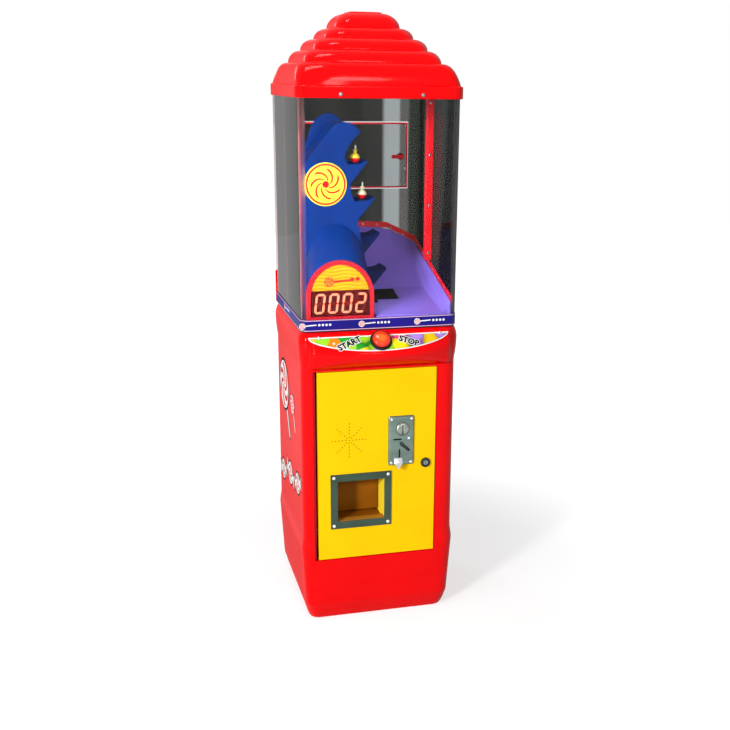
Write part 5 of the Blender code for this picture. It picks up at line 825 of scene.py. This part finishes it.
# Small lollipops and dots along the strip
bandPrint = {"centres": (-0.160, -0.012, 0.130), "height": 0.7996, "radius": 0.0078, "stick": (0.034, 0.0028, 0.06),
             "dots": (0.042, 0.051, 0.060, 0.069), "dotRadius": 0.0030, "dotRise": 0.0016, "start": -0.036,
             "sideCentre": -0.01, "swirl": (0.0008, 0.88, 5, 0.55, 1.4, 6)}


def bandMotif(prefix, centre, face, turn):
    s = bandPrint
    ground = (face, turn, "cabinet", "band_print")
    x, z = centre + s["start"], s["height"]
    shapes = [barPoints(x, z, *s["stick"])]
    shapes += [discPoints(x + gap, z + s["dotRise"], s["dotRadius"], 14) for gap in s["dots"]]
    printed(prefix + "Marks", shapes, 0, "white", ground)
    printed(prefix + "Sweet", [discPoints(x, z, s["radius"], 24)], 1, "white", ground)
    low, high, *arms = s["swirl"]
    printed(prefix + "Swirl", swirlPoints(x, z, low, s["radius"] * high, *arms), 2, "inkRed", ground)


for index, centre in enumerate(bandPrint["centres"]):
    bandMotif("bandFront%d" % index, centre, (0.0, -bandSettings["reach"], 0.0), frontTurn)
for label, side, turn in (("Left", -1, leftTurn), ("Right", 1, rightTurn)):
    bandMotif("band" + label, bandPrint["sideCentre"], (side * bandSettings["reach"], 0.0, 0.0), turn)
print("case, strip and side pictures made")

# Badge on the column: a yellow disc with a red ring and a swirl
badgeSettings = {"centre": (-0.112, -0.0803, 1.127), "radius": 0.0530, "thickness": 0.0026, "ring": (0.0500, 0.0455),
                 "swirl": (0.010, 0.038, 7, 0.27, 1.35, 12), "middle": 0.0085}


def makeBadge(s):
    radius, high = s["radius"], s["thickness"]
    x, y, z = s["centre"]
    made = lathe("badgeDisc", [(0.0, 0.0), (radius, 0.0), (radius, high * 0.55), (radius - 0.0005, high * 0.85),
                               (radius - 0.0014, high), (0.0, high)], s["centre"], (0, -1, 0), 64)
    wear(made, "cabinet", "inkYellow", "badge_print", "column_badge")
    ground = ((0.0, y - high, 0.0), frontTurn, "cabinet", "badge_print")
    printed("badgeRing", [discPoints(x, z, edge, 64) for edge in s["ring"]], 0, "inkRed", ground)
    printed("badgeSwirl", swirlPoints(x, z, *s["swirl"]), 0, "inkRed", ground)
    printed("badgeMiddle", [discPoints(x, z, s["middle"])], 0, "inkRed", ground)


makeBadge(badgeSettings)

# Display: lit digits, striped face with a small printed lollipop
digitSettings = {"text": "0002", "centres": (-0.1466, -0.1124, -0.0782, -0.0440), "middle": 0.8477, "width": 0.0250,
                 "height": 0.0500, "bar": 0.0054, "slant": 0.13, "gap": 0.0006, "face": -0.1721,
                 "lit": {"0": "abcdef", "2": "abged"}}


def segmentPoints(s, key):
    w, h, t, gap = s["width"] / 2, s["height"] / 2, s["bar"], s["gap"]
    if key in "adg":
        z = {"a": h - t / 2, "d": t / 2 - h, "g": 0.0}[key]
        x = w - t / 2 - gap
        return [(-x, z), (-x + t / 2, z + t / 2), (x - t / 2, z + t / 2), (x, z), (x - t / 2, z - t / 2),
                (-x + t / 2, z - t / 2)]
    x = (w - t / 2) * (1 if key in "bc" else -1)
    low, high = (gap, h - t / 2 - gap) if key in "bf" else (gap - h + t / 2, -gap)
    return [(x, low), (x + t / 2, low + t / 2), (x + t / 2, high - t / 2), (x, high), (x - t / 2, high - t / 2),
            (x - t / 2, low + t / 2)]


def makeDigits(s):
    shapes = {"digitLit": [], "digitOff": []}
    for digit, centre in zip(s["text"], s["centres"]):
        for key in "abcdefg":
            outline = [(centre + x + z * s["slant"], s["middle"] + z) for x, z in segmentPoints(s, key)]
            shapes["digitLit" if key in s["lit"][digit] else "digitOff"].append(outline)
    ground = ((0.0, s["face"], 0.0), frontTurn, "cabinet", "led_window")
    for look, outlines in shapes.items():
        printed("display" + look, outlines, 0, look, ground)


makeDigits(digitSettings)
facePrint = {"face": -0.1724, "centre": (-0.124, 0.9010), "radius": 0.0120, "stick": (0.050, 0.0056, 0.06),
             "dots": ((-0.066, 0.9060), (-0.052, 0.9070)), "dotRadius": 0.0056,
             "swirl": (0.001, 0.86, 5, 0.20, 1.3, 7)}


def makeFacePrint(s):
    x, z = s["centre"]
    ground = ((0.0, s["face"], 0.0), frontTurn, "cabinet", "face_print")
    dots = [discPoints(px, pz, s["dotRadius"], 16) for px, pz in s["dots"]]
    printed("faceMarks", [barPoints(x, z, *s["stick"])] + dots, 0, "inkRed", ground)
    printed("faceSweet", [discPoints(x, z, s["radius"])], 1, "inkRed", ground)
    low, high, *arms = s["swirl"]
    printed("faceSwirl", swirlPoints(x, z, low, s["radius"] * high, *arms), 2, "inkYellow", ground)


makeFacePrint(facePrint)
print("badge and display made")

# Slanted face of the shelf: its printed half-moon and the legends
shelfSettings = {"half": 0.1830, "top": 0.7805, "fall": 0.0905, "faceY": -0.2078, "endBow": 0.004, "bow": 0.042,
                 "bowPower": 2.4, "drops": (0.05, 0.46), "reaches": (0.10, 0.93)}
decalSettings = {"x": -0.0060, "half": 0.1780, "top": 0.09, "depth": 0.89, "fullness": 0.46, "least": 0.06,
                 "gap": 0.0011, "thickness": 0.0006, "columns": 132, "rows": 18, "buttonX": -0.0060,
                 "buttonShare": 0.42, "hole": 0.0165}


def slantPoint(x, share, proud=0.0):
    s = shelfSettings
    bow = s["endBow"] + (s["bow"] - s["endBow"]) * (1.0 - min(abs(x) / s["half"], 1.0) ** s["bowPower"])
    drop = s["drops"][0] + (s["drops"][1] - s["drops"][0]) * share
    reach = s["reaches"][0] + (s["reaches"][1] - s["reaches"][0]) * share
    normal = Vector((0.0, -s["fall"] * (s["drops"][1] - s["drops"][0]), bow * (s["reaches"][1] - s["reaches"][0])))
    return Vector((x, s["faceY"] - bow * reach, s["top"] - s["fall"] * drop)) + normal.normalized() * proud


def makeDecal(s):
    proud = s["gap"] + s["thickness"]
    rows = []
    for level in range(s["rows"] + 1):
        row = []
        for i in range(s["columns"] + 1):
            across = 2 * i / s["columns"] - 1
            depth = s["depth"] * max((1.0 - across ** 2) ** s["fullness"], s["least"])
            row.append(slantPoint(s["x"] + s["half"] * across, s["top"] + depth * level / s["rows"], proud))
        rows.append(row)
    border = rows[0] + rows[-1] + [row[0] for row in rows] + [row[-1] for row in rows]
    centre = slantPoint(s["buttonX"], s["buttonShare"], proud)
    verts = [point for row in rows for point in row]
    wide = s["columns"] + 1
    faces = []
    for level in range(s["rows"]):
        for i in range(s["columns"]):
            corners = (level * wide + i, (level + 1) * wide + i, (level + 1) * wide + i + 1, level * wide + i + 1)
            middle = sum((verts[c] for c in corners), Vector()) / 4
            if (middle - centre).length > s["hole"]:
                faces.append(corners)
    made = meshObject("decalSheet", verts, faces)
    edge = made.data.attributes.new("edge", "FLOAT", "POINT")
    for index, vert in enumerate(verts):
        edge.data[index].value = min((vert - point).length for point in border)
    bm = bmesh.new()
    bm.from_mesh(made.data)
    bmesh.ops.delete(bm, geom=[v for v in bm.verts if not v.link_faces], context="VERTS")
    bm.to_mesh(made.data)
    bm.free()
    modifier = made.modifiers.new("sheet", "SOLIDIFY")
    modifier.thickness = s["thickness"]
    modifier.offset = -1.0
    bake(made)
    smoothShade(made, 40)
    wear(made, "cabinet", "decal", "decal_print", "control_decal")


makeDecal(decalSettings)

legendSettings = {"size": 0.0215, "slope": 0.0475, "proud": 0.0019, "layer": 0.00016,
                  "edges": (("Edge", 0.0023, 0.0, "white"), ("", 0.0010, 0.00024, "inkBlack")),
                  "words": (("START", -0.0850, 0.52, 24), ("STOP", 0.0650, 0.52, -21))}


def makeLegend(s, text, x, share, angle, name, offset, lift, look):
    curve = bpy.data.curves.new(name, "FONT")
    for key, value in {"body": text, "size": s["size"], "align_x": "CENTER", "align_y": "CENTER", "offset": offset,
                       "extrude": s["layer"] / 2, "resolution_u": 3}.items():
        setattr(curve, key, value)
    made = bake(linked(name, curve))
    for vert in made.data.vertices:
        u = vert.co.x * math.cos(angle) - vert.co.y * math.sin(angle)
        v = vert.co.x * math.sin(angle) + vert.co.y * math.cos(angle)
        vert.co = slantPoint(x + u, share - v / s["slope"], s["proud"] + lift + vert.co.z)
    tidyMesh(made)
    wear(made, "cabinet", look, "decal_print")


for text, x, share, angle in legendSettings["words"]:
    for ending, offset, lift, look in legendSettings["edges"]:
        makeLegend(legendSettings, text, x, share, math.radians(angle), "legend" + text.title() + ending, offset, lift,
                   look)
print("shelf print made")

# Coin unit and lock
coinSettings = {"face": -0.2071, "bars": {"coinSlot": (0.0350, 0.4945, 0.0185, 0.0042, 0.0, 0.0),
                                          "coinDrop": (0.0500, 0.4360, 0.0300, 0.0042, math.pi / 2, 0.0),
                                          "coinEntrySlot": (0.0575, 0.5130, 0.0180, 0.0044, math.pi / 2, 0.0040)},
                "lamp": (0.0742, 0.4965, 0.0034), "entry": (0.0575, 0.5220, 0.0010),
                "rim": ((0.98, 0.0), (1.5, 0.0), (1.45, 0.0010), (1.0, 0.0012), (0.98, 0.0)),
                "glass": ((0.0, 0.0), (0.95, 0.0), (0.88, 0.0009), (0.5, 0.0016), (0.0, 0.0018)),
                "cap": ((0.0, 0.0), (0.0115, 0.0), (0.0112, 0.0014), (0.0080, 0.0026), (0.0, 0.0030)),
                "cup": {"x": 0.0450, "backY": -0.2074, "narrowing": 0.86, "edge": 0.0012,
                        "outline": ((-0.0125, 0.4466, 0.0050), (0.0125, 0.4466, 0.0050), (0.0125, 0.4320, 0.0120),
                                    (0.0, 0.4172, 0.0146), (-0.0125, 0.4320, 0.0120))}}


# The slots are black bars whose dark stands for each slot's opening: painted shade
def coinBar(s, name):
    *bar, proud = s["bars"][name]
    ground = ((0.0, s["face"] - proud, 0.0), frontTurn, "front_door", "black_plastic")
    printed(name, [barPoints(*bar)], 0, "inkBlack", ground)


def makeCoinFace(s):
    coinBar(s, "coinSlot")
    coinBar(s, "coinDrop")
    cup = s["cup"]
    back = [(cup["x"] + px, cup["backY"], pz) for px, pz, depth in cup["outline"]]
    front = [(cup["x"] + px * cup["narrowing"], cup["backY"] - depth, pz) for px, pz, depth in cup["outline"]]
    count = len(back)
    sides = [(i, (i + 1) % count, (i + 1) % count + count, i + count) for i in range(count)]
    made = meshObject("coinCup", back + front, [tuple(range(count))[::-1], tuple(range(count, 2 * count))] + sides)
    tidyMesh(made)
    made = rounded(made, cup["edge"], 3)
    smoothShade(made, 35)
    wear(made, "front_door", "chrome", "chrome", "coin_return_cup")
    x, z, radius = s["lamp"]
    for name, key, look in (("coinLampRim", "rim", "coinMetal"), ("coinLamp", "glass", "lampWhite")):
        profile = [(radius * share, height) for share, height in s[key]]
        wear(lathe(name, profile, (x, s["face"], z), (0, -1, 0), 28), "front_door", look, "chrome")
    x, z, proud = s["entry"]
    wear(lathe("coinEntryCap", s["cap"], (x, s["face"] - proud, z), (0, -1, 0)), "front_door", "coinMetal", "steel")
    coinBar(s, "coinEntrySlot")


makeCoinFace(coinSettings)
lockSettings = {"centre": (0.1215, -0.2051, 0.4245), "ring": (0.0125, 0.0085), "key": (0.0072, 0.0016)}


def makeLock(s):
    x, y, z = s["centre"]
    outer, inner = s["ring"]
    made = lathe("lockRing", [(inner, 0.0), (outer, 0.0), (outer - 0.0012, 0.0012), (inner + 0.0008, 0.0014),
                              (inner, 0.0)], s["centre"], (0, -1, 0))
    wear(made, "front_door", "darkChrome", "black_plastic")
    length, width = s["key"]
    # the keyway is a black bar, painted shade for its dark opening
    printed("lockKeyway", [barPoints(x, z - length / 2, length, width, math.pi / 2)], 0, "inkBlack",
            ((0.0, y, 0.0), frontTurn, "door_cam", "chrome"))


makeLock(lockSettings)
print("coin unit and lock made")

# Screws: one cross-head repeated on points, each turned at random
headSettings = {"profile": ((0.0, 0.0), (1.0, 0.0), (0.98, 0.14), (0.86, 0.34), (0.55, 0.50), (0.0, 0.56)),
                "cross": ((-0.62, 0.62), (-0.11, 0.11), (0.26, 0.80))}


def screwHead(s):
    made = lathe("screwHead", s["profile"], (0, 0, 0), (0, 0, 1), 20)
    for turn in (0.0, math.pi / 2):
        cutter = boxMesh("cross", *s["cross"])
        cutter.matrix_world = Matrix.Rotation(turn, 4, "Z")
        cut(made, cutter)
    return made


def screwTree():
    tree, source = startTree("screws", (("Head", "Object"), ("Radius", "Float"), ("Seed", "Int"),
                                        ("Finish", "Material")))
    facing = addNode(tree, "GeometryNodeInputNamedAttribute", {"Name": "facing"}, data_type="FLOAT_VECTOR").outputs[0]
    turn = addNode(tree, "FunctionNodeAlignRotationToVector", {"Vector": facing}, axis="Z").outputs[0]
    spin = addNode(tree, "FunctionNodeRandomValue", {"Seed": source["Seed"], 2: 0.0, 3: math.pi}, data_type="FLOAT")
    angle = addNode(tree, "ShaderNodeCombineXYZ", {"Z": spin.outputs[1]}).outputs[0]
    local = addNode(tree, "FunctionNodeEulerToRotation", {0: angle}).outputs[0]
    whole = addNode(tree, "FunctionNodeRotateRotation", {0: turn, 1: local}, rotation_space="LOCAL").outputs[0]
    head = addNode(tree, "GeometryNodeObjectInfo", {"Object": source["Head"]}).outputs["Geometry"]
    points = addNode(tree, "GeometryNodeMeshToPoints", {"Mesh": source["Geometry"]}).outputs[0]
    size = addNode(tree, "ShaderNodeCombineXYZ", dict.fromkeys("XYZ", source["Radius"])).outputs[0]
    placed = addNode(tree, "GeometryNodeInstanceOnPoints", {"Points": points, "Instance": head, "Rotation": whole,
                                                            "Scale": size}).outputs[0]
    return endTree(tree, placed, source["Finish"])


screwGroup = screwTree()
headPattern = screwHead(headSettings)


def screws(name, places, facing, radius, look, body, seed):
    made = meshObject(name, places, [])
    mark = made.data.attributes.new("facing", "FLOAT_VECTOR", "POINT")
    for index in range(len(places)):
        mark.data[index].vector = facing
    made = runTree(made, screwGroup, {"Head": headPattern, "Radius": radius, "Seed": seed, "Finish": finishes[look]})
    smoothShade(made, 35)
    wear(made, body, look, "steel")


def corners(low, high, inset, y):
    return [(x, y, z) for x in (low[0] + inset, high[0] - inset) for z in (low[1] + inset, high[1] - inset)]


edgingSettings = {"insideX": 0.1931, "rightYs": (-0.150, -0.100, -0.050, 0.000, 0.050, 0.100, 0.150), "drop": 0.0075,
                  "line": ((-0.1660, 0.8530), (0.1890, 0.9550)), "rearY": 0.1860,
                  "rear": ((0.160, 0.9690), (0.125, 0.9900), (0.085, 0.9985), (0.045, 1.0005), (0.010, 1.0005))}


def edgingPlaces(s):
    (frontY, frontZ), (backY, backZ) = s["line"]
    right = [(s["insideX"] - 0.0010, y, frontZ + (backZ - frontZ) * (y - frontY) / (backY - frontY) - s["drop"])
             for y in s["rightYs"]]
    rear = [(x, s["rearY"], z - s["drop"]) for x, z in s["rear"]]
    return right, rear


right, rear = edgingPlaces(edgingSettings)
front = (0, -1, 0)
postHeights, trimHeights = (0.935, 1.060, 1.190, 1.320), (1.098, 1.142, 1.257)
# Name, places, facing, radius, finish and body, with seeds counted from the first
screwSettings = {"firstSeed": 3, "sets": (
    ("bowlScrewsRight", right, (-1, 0, 0), 0.0028, "chrome", "cabinet"),
    ("bowlScrewsRear", rear, front, 0.0028, "chrome", "cabinet"),
    ("prizeFrameScrews", corners((-0.1300, 0.2605), (0.0300, 0.4095), 0.0085, -0.2041), front, 0.0042, "white",
     "front_door"),
    ("coinPlateScrews", corners((0.0210, 0.4235), (0.0890, 0.5565), 0.0078, -0.2071), front, 0.0038, "chrome",
     "front_door"),
    ("postBoltsRight", [(0.1852, 0.0220, z) for z in postHeights], front, 0.0042, "chrome", "cabinet"),
    ("postBoltsLeft", [(-0.1852, 0.0220, z) for z in (0.805,) + postHeights], front, 0.0042, "chrome", "cabinet"),
    ("trimScrews", [(x, 0.1865, z) for x in (-0.163, 0.163) for z in trimHeights], front, 0.0026, "chrome",
     "rear_door"),
    ("decalScrews", [slantPoint(x, 0.14, 0.0018) for x in (-0.158, 0.150)], (0, -0.9, 0.43), 0.0042, "chrome",
     "cabinet"))}
for seed, row in enumerate(screwSettings["sets"], screwSettings["firstSeed"]):
    screws(*row, seed)
discard(headPattern)
print("screws made")

# Lollipops waiting on the first two fixed steps, in the lane of a fixed blade
sweetSettings = {"radius": 0.0120, "laneY": -0.0440, "places": ((-0.0300, 1.225), (-0.0120, 1.135)), "stick": 0.018,
                 "stickRadius": 0.0018, "lean": (0.06, 1.0), "ruffle": 0.0062, "clearance": 0.0003, "reach": 0.2,
                 "step": 0.0002, "ballSteps": 16}


# The height at which a sweet let down from above comes to rest
def seatHeight(s, tree, x, start):
    height = start
    while (tree.find_nearest(Vector((x, s["laneY"], height)))[3] > s["radius"] + s["clearance"]
           and height > start - s["reach"]):
        height -= s["step"]
    return height


def makeSweet(s, tree, index, x, start, look):
    radius = s["radius"]
    place = Vector((x, s["laneY"], seatHeight(s, tree, x, start)))
    lean = Vector((s["lean"][0], 0.0, s["lean"][1])).normalized()
    steps = s["ballSteps"]
    ball = [(0.0, -radius)]
    for step in range(1, steps - 1):
        angle = math.pi * step / steps
        ball.append((radius * math.sin(angle), -radius * math.cos(angle)))
    ball += [(0.0030, radius * 1.02), (0.0024, radius * 1.16), (s["ruffle"], radius * 1.62),
             (s["ruffle"] * 0.9, radius * 1.64), (0.0012, radius * 1.20), (0.0, radius * 1.20)]
    for name, part, colour in (("sweet", ball[steps // 2:], look), ("sweetFoot", ball[:steps // 2 + 1], "inkRed")):
        wear(lathe(name + str(index), part, place, lean, 28), "cabinet", colour, "yellow_paint")
    made = bake(polyCurve("sweetStick%d" % index, [[place + lean * radius, place + lean * (radius + s["stick"])]],
                          dimensions="3D", bevel_depth=s["stickRadius"], bevel_resolution=2, use_fill_caps=True))
    tidyMesh(made)
    wear(made, "cabinet", "stickWhite", "yellow_paint")


comb = nodes["fixed_comb"].data
combTree = BVHTree.FromPolygons([v.co for v in comb.vertices], [tuple(f.vertices) for f in comb.polygons])
for index, ((x, start), look) in enumerate(zip(sweetSettings["places"], ("wrapYellow", "wrapCream"))):
    makeSweet(sweetSettings, combTree, index, x, start, look)
print("lollipops placed")

# Solids whose form is right and whose curved faces are shaded smooth
smoothList = (
    ("control_shelf", "controlShelf", "redGloss", "red_gloss", "cabinet", 50),
    ("coin_entry_ring", "coinRing", "coinBright", "chrome", "front_door", 40),
    ("coin_return_lever", "coinLever", "darkChrome", "chrome", "coin_lever", 40),
    ("lock_barrel", "lockBarrel", "darkChrome", "chrome", "front_door", 40),
    ("start_button", "buttonDome", "buttonOrange", "button_orange", "button", 50),
    ("button_bezel", "buttonBezel", "blackPlastic", "black_plastic", "cabinet", 40),
    ("rim_screw_left", "rimScrewLeft", "steel", "chrome", "cabinet", 40),
    ("rim_screw_right", "rimScrewRight", "steel", "chrome", "cabinet", 40),
    ("speaker", "speakerUnit", "blackPlastic", "black_plastic", "front_door", 40),
    ("gear_motor", "gearMotor", "steel", "steel", "cabinet", 40),
    ("guide_rod", "guideRod", "steel", "steel", "cabinet", 40),
)
for node, name, look, slot, body, sharp in smoothList:
    smoothed(node, name, look, slot, body, sharp)
print("smooth pieces made")

# Solids that keep their own mesh
plainList = {
    "base_plate": "steel", "door_pin_upper": "steel", "door_pin_lower": "steel", "prize_box": "prizeBox",
    "prize_flap": "amber", "coin_mechanism": "blackPlastic", "lock_cam": "coinBright",
    "start_switch": "greyPlastic", "case_side_left": "clear", "case_side_right": "smokedSide",
    "case_back": "smoked", "rear_door": "smoked", "rear_hinge_pin": "steel", "rear_latch": "redTrim",
    "roof_tray": "boardBrown", "drive_pinion": "greyPlastic", "led_module": "ledRed", "delivery_tube": "tube",
    "power_supply": "steel", "control_board": "boardGreen", "display_face": "faceStripes",
}
for node, look in plainList.items():
    mesh = nodes[node].data
    mesh.materials.clear()
    mesh.materials.append(finishes[look])
    if look in ("clear", "smoked", "smokedSide", "tube"):
        nodes[node].visible_shadow = False
print("solids finished")

# Floor, lamps and world: each lamp has its place, width, height if it isn't round, and power
stageSettings = {"floorSize": 14.0, "floorTone": 0.42, "floorGlow": 0.66, "fade": (0.45, 1.5), "worldFill": 0.18,
                 "aim": (0.0, 0.0, 0.85),
                 "lamps": {"key": ((-3.1, -3.0, 2.0), 0.7, None, 172.0), "fill": ((0.4, -3.3, 1.9), 0.8, None, 24.0),
                           "strip": ((-3.0, -2.9, 0.62), 0.22, 1.15, 26.0),
                           "top": ((-0.5, -0.6, 3.4), 0.7, None, 24.0),
                           "back": ((-1.6, 2.6, 2.2), 1.2, None, 18.0)}}


def seenShare(tree):
    path = addNode(tree, "ShaderNodeLightPath").outputs
    seen = calc(tree, "MAXIMUM", path["Is Camera Ray"], path["Is Transmission Ray"])
    return calc(tree, "MAXIMUM", seen, path["Is Glossy Ray"])


def makeStage(s):
    size = s["floorSize"] / 2
    floor = meshObject("floor", [(-size, -size, 0), (size, -size, 0), (size, size, 0), (-size, size, 0)],
                       [(0, 1, 2, 3)])
    look, tree, shader = newLook("floorPale", {"Base Color": (s["floorTone"],) * 3 + (1.0,), "Roughness": 0.9,
                                               "Specular IOR Level": 0.1, "Emission Color": (1, 1, 1, 1)})
    away = vectorCalc(tree, "LENGTH", objectPoint(tree), output="Value")
    glow = mapRange(tree, away, *s["fade"], s["floorGlow"], 1.0)
    feed(tree, shader, {"Emission Strength": calc(tree, "MULTIPLY", seenShare(tree), glow)})
    floor.data.materials.append(look)
    world = bpy.data.worlds.new("paleStudio")
    bpy.context.scene.world = world
    world.use_nodes = True
    tree = world.node_tree
    tree.nodes.clear()
    level = calc(tree, "MAXIMUM", seenShare(tree), s["worldFill"])
    sky = addNode(tree, "ShaderNodeBackground", {"Strength": level, "Color": (1, 1, 1, 1)})
    addNode(tree, "ShaderNodeOutputWorld", {"Surface": sky.outputs[0]})
    for name, (place, width, height, power) in s["lamps"].items():
        lamp = bpy.data.lights.new(name + "Lamp", "AREA")
        lamp.shape = "RECTANGLE" if height else "DISK"
        lamp.size = width
        if height:
            lamp.size_y = height
        lamp.energy = power
        aim = Vector(s["aim"]) - Vector(place)
        linked(name + "Lamp", lamp).matrix_world = (Matrix.Translation(place)
                                                    @ aim.to_track_quat("-Z", "Y").to_matrix().to_4x4())


makeStage(stageSettings)
bpy.context.scene.view_settings.view_transform = "Standard"
print("stage made")
